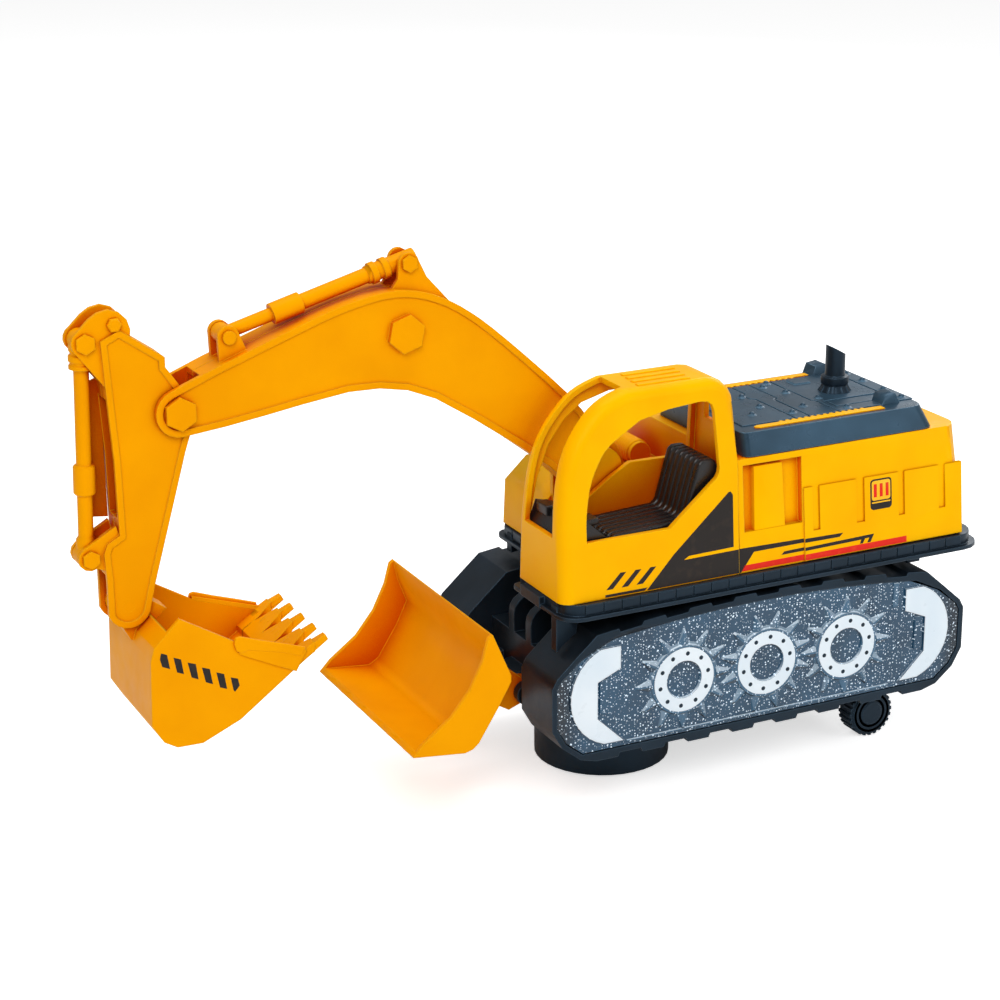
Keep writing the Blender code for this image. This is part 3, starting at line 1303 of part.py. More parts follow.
def crank_outline():
    x, z = STICK_CYLINDER_TOP
    return [
        *arc((x, z), 5.2, 230, 120, 5),
        (-267.5, 221.4),
        (-264.0, 223.6),
        (-259.7, 224.4),
        (-255.6, 223.0),
        (-252.8, 220.0),
        (-251.6, 216.0),
        (-252.4, 210.0),
        (-254, 204),
        (-262, 194),
    ]


def foot_bracket_outline():
    x, z = STICK_CYLINDER_FOOT
    return [
        *arc((x, z), FOOT_BRACKET_RADIUS, 300, 120, 6), (-262.0, 140.0), (-259.0, 128.0), (-263.0, 121.0)
    ]


def add_stick():
    x, z = STICK_PIVOT
    outline = stick_outline()
    pivot = (x, 0, z)
    for side, label in zip(SIDES, ("left", "right")):
        outer = side * STICK_HALF_WIDTH
        seam = side * GAP / 2
        half = part(f"stick_half_{label}", side_slab(outline, *sorted((outer, seam))), "orange", pivot)
        inner = side * (STICK_HALF_WIDTH - ARM_WALL)
        cut(half, side_slab(shrunk(outline, ARM_WALL), *sorted((inner, -seam))))
        cut(half, side_slab(shrunk(outline, 2.4), *sorted((outer + side, outer - side * 0.6))))
        near, far = sorted((side * LUG_PLATE_Y, side * (LUG_PLATE_Y + 1.8)))
        join(half, side_slab(crank_outline(), near, far))
        join(half, side_slab(foot_bracket_outline(), near, far))
        join(half, rod(5.0, (x, seam, z), (x, outer - side, z), 14))
        channel = [(-270.0, 143.0), (-258.2, 143.0), (-258.2, 190.0), (-270.0, 190.0)]
        cut(half, side_slab(channel, *sorted((inner, -side * 3))))
        mouth = [(-275, 94), (-248, 94), (-244, 121), (-275, 121)]
        cut(half, side_slab(mouth, *sorted((side * (TONGUE_HALF_WIDTH + GAP), -side * 3))))
        join(
            half,
            side_slab(
                [(-265.0, 121), (-248.3, 121), (-247.5, 123), (-265.5, 123)], *sorted((seam, outer - side))
            ),
        )
        reach = side * 12
        cut(half, rod(PIN_RADIUS + GAP, (x, -reach, z), (x, reach, z), 14))
        bx, bz = BUCKET_PIVOT
        deep = side * (STICK_HALF_WIDTH - 0.9)
        cut(half, rod(2.2 + GAP, (bx, -side, bz), (bx, deep, bz), 12))
        for place in (STICK_CYLINDER_TOP, STICK_CYLINDER_FOOT):
            cut(
                half,
                rod(SMALL_PIN_RADIUS + GAP, (place[0], -reach, place[1]), (place[0], reach, place[1]), 12),
            )
    add_headed_pin("stick_pin", STICK_PIVOT, PIN_RADIUS, BOOM_HALF_WIDTH - 0.8 + GAP, 6.7, 2.4, 6)
    bx, bz = BUCKET_PIVOT
    half_pin = STICK_HALF_WIDTH - 1.2
    part("bucket_pin", rod(2.2, (bx, -half_pin, bz), (bx, half_pin, bz), 16), "steel")


def add_stick_cylinder():
    """The moulded hydraulic cylinder along the front of the stick, held by two pins."""
    top = Vector((STICK_CYLINDER_TOP[0], 0, STICK_CYLINDER_TOP[1]))
    foot = Vector((STICK_CYLINDER_FOOT[0], 0, STICK_CYLINDER_FOOT[1]))
    along = (foot - top).normalized()
    eye_half = LUG_PLATE_Y - GAP
    cylinder = part("stick_cylinder", rod(3.2, top, foot, 16), "orange")
    for place, radius in ((top, 4.2), (foot, 4.4)):
        join(cylinder, rod(radius, (place.x, -eye_half, place.z), (place.x, eye_half, place.z), 14))
    for start, stop, radius in ((3.0, 10.0, 3.9), (37.0, 50.0, 4.7), (76.0, 82.0, 3.6)):
        join(cylinder, rod(radius, top + along * start, top + along * stop, 14))
    for place in (top, foot):
        cut(cylinder, rod(SMALL_PIN_RADIUS + GAP, (place.x, -9, place.z), (place.x, 9, place.z), 12))
    reach = LUG_PLATE_Y + 1.8 + GAP
    add_headed_pin("stick_cylinder_pin_top", STICK_CYLINDER_TOP, SMALL_PIN_RADIUS, reach, 4.0, 1.4, 6)
    add_headed_pin("stick_cylinder_pin_foot", STICK_CYLINDER_FOOT, SMALL_PIN_RADIUS, reach, 3.6, 1.4, 6)


def bucket_outline():
    """Side view of the bucket's shell."""
    return [
        (-245.6, 106.4), (-222.2, 92.2), (-196.0, 83.6), (-193.0, 82.0), (-200.7, 76.6), (-223.0, 60.5),
        (-238.8, 53.7), (-249.2, 53.9), (-254.4, 57.0), (-258.9, 64.7), (-257.9, 91.3), (-256.3, 96.3),
    ]


def add_bucket():
    bx, bz = BUCKET_PIVOT
    wide = BUCKET_HALF_WIDTH
    outline = bucket_outline()
    bucket = part("bucket", side_slab(outline, -wide, wide), "orange", (bx, 0, bz))
    hollow = shrunk(outline, BUCKET_WALL)
    hollow[0] = (-244.0, 112.0)
    hollow[1] = (-214.0, 112.0)
    hollow[2] = (-186.0, 100.0)
    hollow[3] = (-186.0, 87.5)
    cut(bucket, side_slab(hollow, -wide + BUCKET_WALL, wide - BUCKET_WALL))
    reach = TONGUE_HALF_WIDTH
    tongue = [*arc(BUCKET_PIVOT, 6.3, 30, 200, 8), (-258.6, 92.5), (-256.5, 91.5), (-243.5, 103.0)]
    join(bucket, side_slab(tongue, -reach, reach))
    cut(bucket, rod(2.2 + GAP, (bx, -8, bz), (bx, 8, bz), 12))
    pitch = (2 * wide - 4) / (TOOTH_COUNT - 1)
    for index in range(TOOTH_COUNT):
        y = -wide + 2 + index * pitch
        tooth = [(-203.5, 75.8), (-184.9, 86.8), (-186.0, 89.0), (-196.5, 84.0), (-204.0, 79.2)]
        half = 2.6 if index in (0, TOOTH_COUNT - 1) else 2.2
        y = max(-wide + half, min(wide - half, y))
        join(bucket, side_slab(tooth, y - half, y + half))
    for side in SIDES:
        blade = [(-223.5, 94.2), (-194.8, 84.8), (-199.5, 76.6), (-205.5, 79.5), (-222.5, 88.0)]
        join(bucket, side_slab(blade, *sorted((side * (wide - 1.5), side * (wide + 0.9)))))


# Front shovel


def shovel_outline():
    """Side view of the shovel: curved mouth, rounded back, flat floor."""
    return [
        (-124.5, 85.9), (-121.0, 77.6), (-116.6, 67.2), (-116.6, 64.4), (-122.1, 54.8), (-131.2, 40.6),
        (-133.8, 38.4), (-137.4, 37.4), (-160.0, 40.0), (-155.3, 44.9), (-143.0, 53.9), (-134.6, 64.2),
        (-129.0, 75.4), (-126.4, 84.6),
    ]


def add_shovel():
    x, z = SHOVEL_PIVOT
    wide = SHOVEL_HALF_WIDTH
    outline = shovel_outline()
    shovel = part("shovel", side_slab(outline, -wide, wide), "orange", (x, 0, z))
    wall = SHOVEL_WALL
    hollow = [
        (-126.3, 92.0), (-123.0, 77.0), (-119.0, 66.4), (-124.4, 55.6), (-133.2, 42.2), (-137.6, 39.6)
    ]
    hollow += [(-164.0, 42.4), (-164.0, 60.0), (-145.0, 92.0)]
    cut(shovel, side_slab(hollow, -wide + wall, wide - wall))
    pitch = 2 * wide / SHOVEL_LOBES
    for index in range(SHOVEL_LOBES):
        y = -wide + (index + 0.5) * pitch
        flat = plan_slab(lobe_outline(y, pitch), 0, 1.8)
        tilt = math.atan2(2.6, -22.6)
        flat.transform(
            Matrix.Translation((-158.6 * MM, 0, 39.95 * MM)) @ Matrix.Rotation(math.pi - tilt, 4, "Y")
        )
        join(shovel, flat)
    for side in SIDES:
        y = side * SHOVEL_ARM_Y
        half = SHOVEL_ARM_WIDTH / 2
        arm = [
            *reversed(arc(SHOVEL_PIVOT, 5.2, -100, 90, 8)),
            (-101.0, 35.6),
            (-126.0, 50.5),
            (-121.5, 57.0),
            (-117.5, 65.0),
            (-99.0, 52.5),
        ]
        join(shovel, side_slab(arm, y - half, y + half))
    cut(shovel, rod(PIN_RADIUS + GAP, (x, -30, z), (x, 30, z), 14))
    reach = SHOVEL_ARM_Y + SHOVEL_ARM_WIDTH / 2 + 4
    part("shovel_pin", rod(PIN_RADIUS, (x, -reach, z), (x, reach, z), 20), "steel")


def lobe_outline(y, pitch):
    """One scallop of the shovel's lip, seen from above, with the lip's edge at x = 0."""
    half = pitch / 2
    front = [
        (-2.6 * math.cos(math.radians(a)) + 0.9, y + half * 0.92 * math.sin(math.radians(a)))
        for a in range(-75, 76, 30)
    ]
    return [(5.0, y + half * 0.9), (5.0, y - half * 0.9), *front]


add_tracks()
add_side_panels()
add_chassis()
add_bottom_plate()
add_battery_bay()
add_plate_screws()
add_turntable()
add_power_train()
add_rear_wheels()
add_electrics()
add_platform()
add_body_shell()
add_cab_interior()
add_hood()
add_boom()
add_arm_cylinder()
add_stick()
add_stick_cylinder()
add_bucket()
add_shovel()
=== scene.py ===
import json
import math

import bmesh
import bpy
from mathutils import Matrix, Vector

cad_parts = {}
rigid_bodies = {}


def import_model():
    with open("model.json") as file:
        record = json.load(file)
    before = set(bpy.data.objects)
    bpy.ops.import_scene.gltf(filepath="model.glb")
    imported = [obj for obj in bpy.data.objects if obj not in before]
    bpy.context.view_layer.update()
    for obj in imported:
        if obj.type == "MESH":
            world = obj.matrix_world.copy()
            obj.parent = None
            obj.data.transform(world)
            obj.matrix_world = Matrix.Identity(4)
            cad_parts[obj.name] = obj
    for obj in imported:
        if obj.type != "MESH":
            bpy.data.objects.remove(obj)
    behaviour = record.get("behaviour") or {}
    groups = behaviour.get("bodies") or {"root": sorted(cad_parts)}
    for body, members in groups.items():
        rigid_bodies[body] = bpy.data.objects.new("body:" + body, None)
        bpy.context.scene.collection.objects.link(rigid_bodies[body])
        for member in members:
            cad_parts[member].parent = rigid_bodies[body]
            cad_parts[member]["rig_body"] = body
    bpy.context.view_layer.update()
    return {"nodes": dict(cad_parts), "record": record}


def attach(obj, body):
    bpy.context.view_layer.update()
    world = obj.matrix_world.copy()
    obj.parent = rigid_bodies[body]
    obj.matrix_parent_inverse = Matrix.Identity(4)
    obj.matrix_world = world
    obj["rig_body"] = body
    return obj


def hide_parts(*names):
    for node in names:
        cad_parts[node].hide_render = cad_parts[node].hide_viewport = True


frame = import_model()

# The studio
# A white sweep of card under four soft boxes, with the camera a little above the toy and to its cab side.
# The card runs out to pure white, and keeps the soft shadow under the toy.
scene = bpy.context.scene
scene.view_settings.view_transform = "Standard"


def linear(code):
    """A colour written as an sRGB hex value, in linear light."""
    parts = [int(code[i : i + 2], 16) / 255 for i in (1, 3, 5)]
    return (*[c / 12.92 if c <= 0.04045 else ((c + 0.055) / 1.055) ** 2.4 for c in parts], 1)


def add(tree, kind, inputs=None, **settings):
    """Add a node: its settings by name, and its inputs as values or as the outputs that feed them."""
    node = tree.nodes.new(kind)
    for name, value in settings.items():
        setattr(node, name, value)
    for name, value in (inputs or {}).items():
        socket = node.inputs[name]
        if isinstance(value, bpy.types.NodeSocket):
            tree.links.new(value, socket)
        else:
            socket.default_value = value
    return node


def place_camera():
    """The photograph's view: 25.8 degrees round to the front, 18.6 above, on a long lens."""
    turn, height, roll = (math.radians(angle) for angle in (25.8, 18.55, -0.575))
    ahead = Vector((math.sin(turn) * math.cos(height), math.cos(turn) * math.cos(height), -math.sin(height)))
    level = Vector((math.cos(turn), -math.sin(turn), 0))
    upright = level.cross(ahead)
    across = math.cos(roll) * level + math.sin(roll) * upright
    above = -math.sin(roll) * level + math.cos(roll) * upright
    lens = bpy.data.cameras.new("photograph")
    lens.sensor_width, lens.lens = 36, 85.08
    lens.clip_start = 0.01
    camera = bpy.data.objects.new("photograph", lens)
    scene.collection.objects.link(camera)
    stance = Matrix((across, above, -ahead)).transposed().to_4x4()
    stance.translation = Vector((-0.4168, -0.8352, 0.4345))
    camera.matrix_world = stance
    scene.camera = camera


def soft_box(name, place, size, power):
    """A square soft box that faces the toy."""
    lamp = bpy.data.lights.new(name, "AREA")
    lamp.size = size
    lamp.energy = power
    box = bpy.data.objects.new(name, lamp)
    box.location = place
    box.rotation_euler = (Vector((0, 0, 0.1)) - Vector(place)).to_track_quat("-Z", "Y").to_euler()
    scene.collection.objects.link(box)


def seen_white(tree):
    """1 where the camera looks, and 0 for the light that falls on the toy."""
    return add(tree, "ShaderNodeLightPath").outputs["Is Camera Ray"]


place_camera()
soft_box("key_soft_box", (-0.9, -1.5, 1.5), 1.1, 23)
soft_box("top_soft_box", (0.2, 0.1, 1.9), 1.2, 15)
soft_box("rear_soft_box", (1.4, 0.9, 1.0), 1.0, 9)
soft_box("fill_soft_box", (1.1, -1.3, 0.8), 1.0, 5)

studio = bpy.data.worlds.new("studio_air")
scene.world = studio
studio.use_nodes = True
tree = studio.node_tree
tree.nodes.clear()
AIR_LIGHT, AIR_SEEN, CARD_LIFT, CARD_SIZE = 0.3, 1.0, 0.62, 7
level = add(tree, "ShaderNodeMix", {0: seen_white(tree), 2: AIR_LIGHT, 3: AIR_SEEN}, data_type="FLOAT")
air = add(tree, "ShaderNodeBackground", {"Color": linear("#FFFFFF"), "Strength": level.outputs[0]})
add(tree, "ShaderNodeOutputWorld", {"Surface": air.outputs[0]})

card = bpy.data.materials.new("matt_white_card")
card.use_nodes = True
tree = card.node_tree
tree.nodes.clear()
lift = add(tree, "ShaderNodeMath", {0: seen_white(tree), 1: CARD_LIFT}, operation="MULTIPLY")
fibres = add(tree, "ShaderNodeTexNoise", {"Scale": 900.0, "Detail": 2.0})
tooth = add(tree, "ShaderNodeBump", {"Height": fibres.outputs[0], "Strength": 0.05, "Distance": 0.0001})
paper = add(tree, "ShaderNodeBsdfDiffuse", {"Color": linear("#F2F2F2"), "Normal": tooth.outputs[0]})
glow = add(tree, "ShaderNodeEmission", {"Color": linear("#FFFFFF"), "Strength": lift.outputs[0]})
both = add(tree, "ShaderNodeAddShader", {0: paper.outputs[0], 1: glow.outputs[0]})
add(tree, "ShaderNodeOutputMaterial", {"Surface": both.outputs[0]})
sweep = bmesh.new()
under = Matrix.Translation((0, 0, -0.0002))
bmesh.ops.create_grid(sweep, x_segments=1, y_segments=1, size=CARD_SIZE, matrix=under)
sweep_mesh = bpy.data.meshes.new("card_sweep")
sweep.to_mesh(sweep_mesh)
sweep.free()
sweep_mesh.materials.append(card)
floor = bpy.data.objects.new("card_sweep", sweep_mesh)
scene.collection.objects.link(floor)

# Chassis, bottom plate, tracks and platform
# Injection moulded black polypropylene: a soft sheen over a fine spark-eroded grain, its edges painted lighter,
# partly rubbed wear and partly a painted highlight.
# The mouldings are the CAD's own shapes, their loose triangles merged and shaded smooth over the curves.
slot_of = {entry["node"]: entry["material_slot"] for entry in frame["record"]["subparts"]}


def start_material(name):
    """A material with its Principled shader and the object's own coordinates."""
    made = bpy.data.materials.new(name)
    made.use_nodes = True
    tree = made.node_tree
    tree.nodes.clear()
    shader = add(tree, "ShaderNodeBsdfPrincipled")
    add(tree, "ShaderNodeOutputMaterial", {"Surface": shader.outputs[0]})
    return made, tree, shader, add(tree, "ShaderNodeTexCoord").outputs["Object"]


def moulded_plastic(
    name, shade, face, edge, roughness, ior, grain=0.0005, nook_painted_shade=None, sheen_tint="#FFFFFF", level=0.5
):
    """Moulded plastic: slow flow marks 30 mm across, a fine grain, handling marks, and edges painted a paler tone,
    partly rubbed wear and partly a painted highlight.

    In a recess the colour is painted a deeper tone where ambient occlusion finds the surface closed in: a painted
    shade that stands for light bounced between the walls.
    """
    made, tree, shader, place = start_material(name)
    flow = add(tree, "ShaderNodeTexNoise", {"Vector": place, "Scale": 1 / 0.030, "Detail": 3.0})
    tone = add(tree, "ShaderNodeMapRange", {"Value": flow.outputs[0], "From Min": 0.35, "From Max": 0.65})
    body = add(
        tree,
        "ShaderNodeMix",
        {0: tone.outputs[0], 6: linear(shade), 7: linear(face)},
        data_type="RGBA",
    )
    if nook_painted_shade:
        # Painted shade: the deeper recess colour is mixed into the base colour where ambient occlusion is low.
        closed = add(tree, "ShaderNodeAmbientOcclusion", {"Distance": 0.035}, samples=8)
        nook_shade_amount = add(tree, "ShaderNodeMapRange", {"Value": closed.outputs["AO"], "From Min": 0.76, "From Max": 0.34})
        body = add(
            tree,
            "ShaderNodeMix",
            {0: nook_shade_amount.outputs[0], 6: body.outputs[2], 7: linear(nook_painted_shade)},
            data_type="RGBA",
        )
    # Painted highlight, with some rubbed wear: the paler edge colour is mixed in where the rounded normal turns away
    # from the flat one.
    rounded = add(tree, "ShaderNodeBevel", {"Radius": 0.0008}, samples=6)
    flat = add(tree, "ShaderNodeNewGeometry").outputs["Normal"]
    turn = add(tree, "ShaderNodeVectorMath", {0: rounded.outputs[0], 1: flat}, operation="DOT_PRODUCT")
    corner = add(tree, "ShaderNodeMapRange", {"Value": turn.outputs["Value"], "From Min": 0.97, "From Max": 0.72})
    colour = add(
        tree,
        "ShaderNodeMix",
        {0: corner.outputs[0], 6: body.outputs[2], 7: linear(edge)},
        data_type="RGBA",
    )
    marks = add(tree, "ShaderNodeTexNoise", {"Vector": place, "Scale": 1 / 0.007, "Detail": 6.0})
    sheen = add(
        tree,
        "ShaderNodeMapRange",
        {
            "Value": marks.outputs[0],
            "From Min": 0.3,
            "From Max": 0.7,
            "To Min": roughness - 0.05,
            "To Max": roughness + 0.07,
        },
    )
    fine = add(tree, "ShaderNodeTexNoise", {"Vector": place, "Scale": 1 / grain, "Detail": 2.0})
    skin = add(
        tree,
        "ShaderNodeBump",
        {"Height": fine.outputs[0], "Strength": 0.22, "Distance": 0.00005, "Normal": rounded.outputs[0]},
    )
    tree.links.new(colour.outputs[2], shader.inputs["Base Color"])
    tree.links.new(sheen.outputs[0], shader.inputs["Roughness"])
    tree.links.new(skin.outputs[0], shader.inputs["Normal"])
    shader.inputs["IOR"].default_value = ior
    shader.inputs["Specular Tint"].default_value = linear(sheen_tint)
    shader.inputs["Specular IOR Level"].default_value = level
    return made


def shaded(mesh, name, material, angle):
    """An object of the finished mesh: smooth over its curves, crisp at its corners."""
    mesh.name = name
    mesh.materials.append(material)
    mesh.shade_smooth()
    mesh.set_sharp_from_angle(angle=math.radians(angle))
    piece = bpy.data.objects.new(name, mesh)
    scene.collection.objects.link(piece)
    even = piece.modifiers.new("even_shading", "WEIGHTED_NORMAL")
    even.keep_sharp = True
    return piece


def moulding(node, material, angle=34):
    """The CAD's own moulding with its triangles merged, in place of the node."""
    source = frame["nodes"][node]
    shape = bmesh.new()
    shape.from_mesh(source.data)
    same_place, same_plane = 0.000002, 0.003
    bmesh.ops.remove_doubles(shape, verts=shape.verts, dist=same_place)
    bmesh.ops.dissolve_limit(shape, angle_limit=same_plane, verts=shape.verts, edges=shape.edges)
    mesh = bpy.data.meshes.new(node)
    shape.to_mesh(mesh)
    shape.free()
    piece = shaded(mesh, f"{node}_moulding", material, angle)
    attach(piece, source["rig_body"])
    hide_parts(node)
    return piece


# The edge colour #3A4C5B, pale and bluish, is partly a painted highlight.
black_plastic = moulded_plastic(
    "moulded_black_polypropylene", "#10151A", "#18212A", "#3A4C5B", 0.34, 1.49, sheen_tint="#A9D2F5"
)
for node in ("chassis", "bottom_plate", "battery_door", "track_shell_left", "track_shell_right", "platform"):
    moulding(node, black_plastic)

# Skirt panels of the platform
# The skirt under the yellow body is moulded as a row of small flat panels with a groove between them.
# They stand 0.4 mm proud on the sides, the rear and the front of the cab's corner.
MM = 0.001
TRACK_MIDDLE_X = 83.6


def at(x, y, z):
    """A point of the toy: millimetres from the middle of the tracks, as metres in the frame."""
    return Vector((x + TRACK_MIDDLE_X, y, z)) * MM


def block(low, high, edge=0.3, steps=2):
    """A block between two corners, its edges rounded."""
    low, high = Vector(low), Vector(high)
    shape = bmesh.new()
    size = Matrix.Diagonal((*(high - low), 1))
    bmesh.ops.create_cube(shape, size=MM, matrix=Matrix.Translation(at(*((low + high) / 2))) @ size)
    bmesh.ops.bevel(
        shape,
        geom=shape.edges[:],
        offset=edge * MM,
        segments=steps,
        profile=0.5,
        affect="EDGES",
        material=-1,
    )
    return shape


def gather(shapes):
    """Several shapes as one."""
    whole = bmesh.new()
    for shape in shapes:
        held = bpy.data.meshes.new("held")
        shape.to_mesh(held)
        shape.free()
        whole.from_mesh(held)
        bpy.data.meshes.remove(held)
    return whole


def fit(shape, name, material, body, angle=34):
    """Turn a finished shape into a piece of the toy."""
    bmesh.ops.recalc_face_normals(shape, faces=shape.faces)
    mesh = bpy.data.meshes.new(name)
    shape.to_mesh(mesh)
    shape.free()
    piece = shaded(mesh, name, material, angle)
    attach(piece, body)
    return piece


SKIRT_Y, SKIRT_PITCH, SKIRT_GROOVE, SKIRT_RISE = 54.3, 8.35, 0.55, 0.45
SKIRT_LOW, SKIRT_HIGH, SKIRT_EDGE = 88.7, 92.8, 0.16
SKIRT_FRONT_X, SKIRT_REAR_X = -70.5, 108.2


def skirt_run(start, stop):
    """Starts and ends of the panels along one straight run."""
    count = round((stop - start) / SKIRT_PITCH)
    pitch = (stop - start) / count
    return [(start + i * pitch + SKIRT_GROOVE / 2, start + (i + 1) * pitch - SKIRT_GROOVE / 2) for i in range(count)]


panels = []
for side, front in ((-1, -85.5), (1, -65.5)):
    for start, stop in skirt_run(front, 98.5):
        low, high = sorted((side * (SKIRT_Y - 0.3), side * (SKIRT_Y + SKIRT_RISE)))
        panels.append(block((start, low, SKIRT_LOW), (stop, high, SKIRT_HIGH), SKIRT_EDGE))
for start, stop in skirt_run(-44.5, 44.5):
    low, high = (SKIRT_REAR_X - 0.3, start, SKIRT_LOW), (SKIRT_REAR_X + SKIRT_RISE, stop, SKIRT_HIGH)
    panels.append(block(low, high, SKIRT_EDGE))
for start, stop in skirt_run(0.0, 49.5):
    low, high = (SKIRT_FRONT_X - SKIRT_RISE, start, SKIRT_LOW), (SKIRT_FRONT_X + 0.3, stop, SKIRT_HIGH)
    panels.append(block(low, high, SKIRT_EDGE))
fit(gather(panels), "skirt_panels", black_plastic, "base")

# Side panels of the tracks
# Clear polystyrene with silver glitter in it, one moulding: a flat window with three gear reliefs and two end plates.
# Seen over the black track it reads blue grey, full of bright specks half a millimetre across; the specks also glow
# as a painted sparkle, and the relief is painted paler on upward slopes as a painted highlight and darker on downward
# slopes as a painted shade.
WINDOW_Y = 55.0
GEAR_Z, GEAR_TEETH = 52.8, 12
HOLES, HOLE_CIRCLE = 10, 11.5


def clear_glitter(name, low, high, painted_glints):
    """Clear polystyrene over the black web: a blue grey haze, with flakes that also glow as a painted sparkle, a
    painted highlight on the upward slopes of the relief and a painted shade on its downward slopes.
    """
    made, tree, shader, place = start_material(name)
    faced = add(tree, "ShaderNodeMapping", {"Vector": place, "Rotation": (math.pi / 2, 0, 0)})
    flake_and_painted_sparkle = None
    for pitch, biggest in ((0.00125, 0.27), (0.0021, 0.2)):
        cells = add(
            tree,
            "ShaderNodeTexVoronoi",
            {"Vector": faced.outputs[0], "Scale": 1 / pitch, "Randomness": 1.0},
            voronoi_dimensions="2D",
        )
        luck = add(tree, "ShaderNodeSeparateColor", {"Color": cells.outputs["Color"]}).outputs
        reach = add(tree, "ShaderNodeMapRange", {"Value": luck[0], "From Min": 0.3, "To Max": biggest})
        inside = add(
            tree, "ShaderNodeMath", {0: cells.outputs["Distance"], 1: reach.outputs[0]}, operation="LESS_THAN"
        )
        bright = add(tree, "ShaderNodeMapRange", {"Value": luck[1], "To Min": 0.2, "To Max": 1.3})
        lit = add(tree, "ShaderNodeMath", {0: inside.outputs[0], 1: bright.outputs[0]}, operation="MULTIPLY")
        if flake_and_painted_sparkle:
            lit = add(tree, "ShaderNodeMath", {0: lit.outputs[0], 1: flake_and_painted_sparkle.outputs[0]}, operation="MAXIMUM")
        flake_and_painted_sparkle = lit
    cloud = add(tree, "ShaderNodeTexNoise", {"Vector": place, "Scale": 1 / 0.018, "Detail": 4.0})
    haze = add(
        tree,
        "ShaderNodeMix",
        {0: cloud.outputs[0], 6: linear(low), 7: linear(high)},
        data_type="RGBA",
    )
    along = add(tree, "ShaderNodeSeparateXYZ", {"Vector": place}).outputs["X"]
    out = add(tree, "ShaderNodeMath", {0: along, 1: TRACK_MIDDLE_X * MM}, operation="SUBTRACT")
    out = add(tree, "ShaderNodeMath", {0: out.outputs[0]}, operation="ABSOLUTE")
    rim = add(
        tree,
        "ShaderNodeMapRange",
        {"Value": out.outputs[0], "From Min": 0.087, "From Max": 0.096, "To Max": 0.8},
    )
    haze = add(
        tree,
        "ShaderNodeMix",
        {0: rim.outputs[0], 6: haze.outputs[2], 7: linear("#0E1820")},
        data_type="RGBA",
    )
    normal = add(tree, "ShaderNodeNewGeometry").outputs["Normal"]
    slope = add(tree, "ShaderNodeSeparateXYZ", {"Vector": normal}).outputs
    # Painted highlight: faces that turn upward are painted paler.
    up = add(tree, "ShaderNodeMapRange", {"Value": slope["Z"], "From Min": 0.05, "From Max": 0.75, "To Max": painted_glints})
    pale = add(
        tree,
        "ShaderNodeMix",
        {0: up.outputs[0], 6: haze.outputs[2], 7: linear("#DDF0FF")},
        data_type="RGBA",
    )
    # Painted shade: faces that turn downward are painted darker.
    painted_shade_mask = add(
        tree,
        "ShaderNodeMapRange",
        {"Value": slope["Z"], "From Min": -0.05, "From Max": -0.6, "To Max": painted_glints},
    )
    painted_shade_tone = add(
        tree,
        "ShaderNodeMix",
        {0: painted_shade_mask.outputs[0], 6: pale.outputs[2], 7: linear("#14202A")},
        data_type="RGBA",
    )
    colour = add(
        tree,
        "ShaderNodeMix",
        {0: flake_and_painted_sparkle.outputs[0], 6: painted_shade_tone.outputs[2], 7: linear("#E2F2FF")},
        data_type="RGBA",
    )
    see = add(tree, "ShaderNodeMapRange", {"Value": flake_and_painted_sparkle.outputs[0], "To Min": 0.22, "To Max": 0.0})
    rough = add(tree, "ShaderNodeMapRange", {"Value": flake_and_painted_sparkle.outputs[0], "To Min": 0.08, "To Max": 0.3})
    ripple = add(tree, "ShaderNodeTexNoise", {"Vector": place, "Scale": 1 / 0.004, "Detail": 3.0})
    skin = add(tree, "ShaderNodeBump", {"Height": ripple.outputs[0], "Strength": 0.12, "Distance": 0.00015})
    tree.links.new(colour.outputs[2], shader.inputs["Base Color"])
    tree.links.new(see.outputs[0], shader.inputs["Transmission Weight"])
    tree.links.new(rough.outputs[0], shader.inputs["Roughness"])
    tree.links.new(skin.outputs[0], shader.inputs["Normal"])
    # Painted sparkle: the flakes glow by themselves, though no lamp is in them.
    tree.links.new(flake_and_painted_sparkle.outputs[0], shader.inputs["Emission Strength"])
    shader.inputs["Emission Color"].default_value = linear("#5A6670")
    shader.inputs["IOR"].default_value = 1.59
    return made


def rounded_edges(shape, edge, steps=2):
    """The shape with all its edges rounded to a radius in millimetres."""
    bmesh.ops.bevel(
        shape,
        geom=shape.edges[:],
        offset=edge * MM,
        segments=steps,
        profile=0.5,
        affect="EDGES",
        material=-1,
    )
    return shape


def side_plate(outline, low, high, edge=0.0, steps=2):
    """A plate seen from the side: an outline of x and z, from low to high in y."""
    shape = bmesh.new()
    face = shape.faces.new([shape.verts.new(at(x, low, z)) for x, z in outline])
    swept = bmesh.ops.extrude_face_region(shape, geom=[face])["geom"]
    moved = [item for item in swept if isinstance(item, bmesh.types.BMVert)]
    bmesh.ops.translate(shape, verts=moved, vec=(0, (high - low) * MM, 0))
    bmesh.ops.recalc_face_normals(shape, faces=shape.faces)
    return rounded_edges(shape, edge, steps) if edge else shape


def lathe(profile, centre, axis, steps=48):
    """A profile of radius and height, turned about an axis through centre."""
    shape = bmesh.new()
    points = [shape.verts.new((radius * MM, 0, height * MM)) for radius, height in profile]
    lines = [shape.edges.new(pair) for pair in zip(points, points[1:])]
    bmesh.ops.spin(
        shape,
        geom=points + lines,
        cent=(0, 0, 0),
        axis=(0, 0, 1),
        angle=2 * math.pi,
        steps=steps,
        use_merge=True,
    )
    bmesh.ops.remove_doubles(shape, verts=shape.verts, dist=0.0000002)
    bmesh.ops.recalc_face_normals(shape, faces=shape.faces)
    stand = Vector(axis).to_track_quat("Z", "Y").to_matrix().to_4x4()
    shape.transform(Matrix.Translation(at(*centre)) @ stand)
    return shape


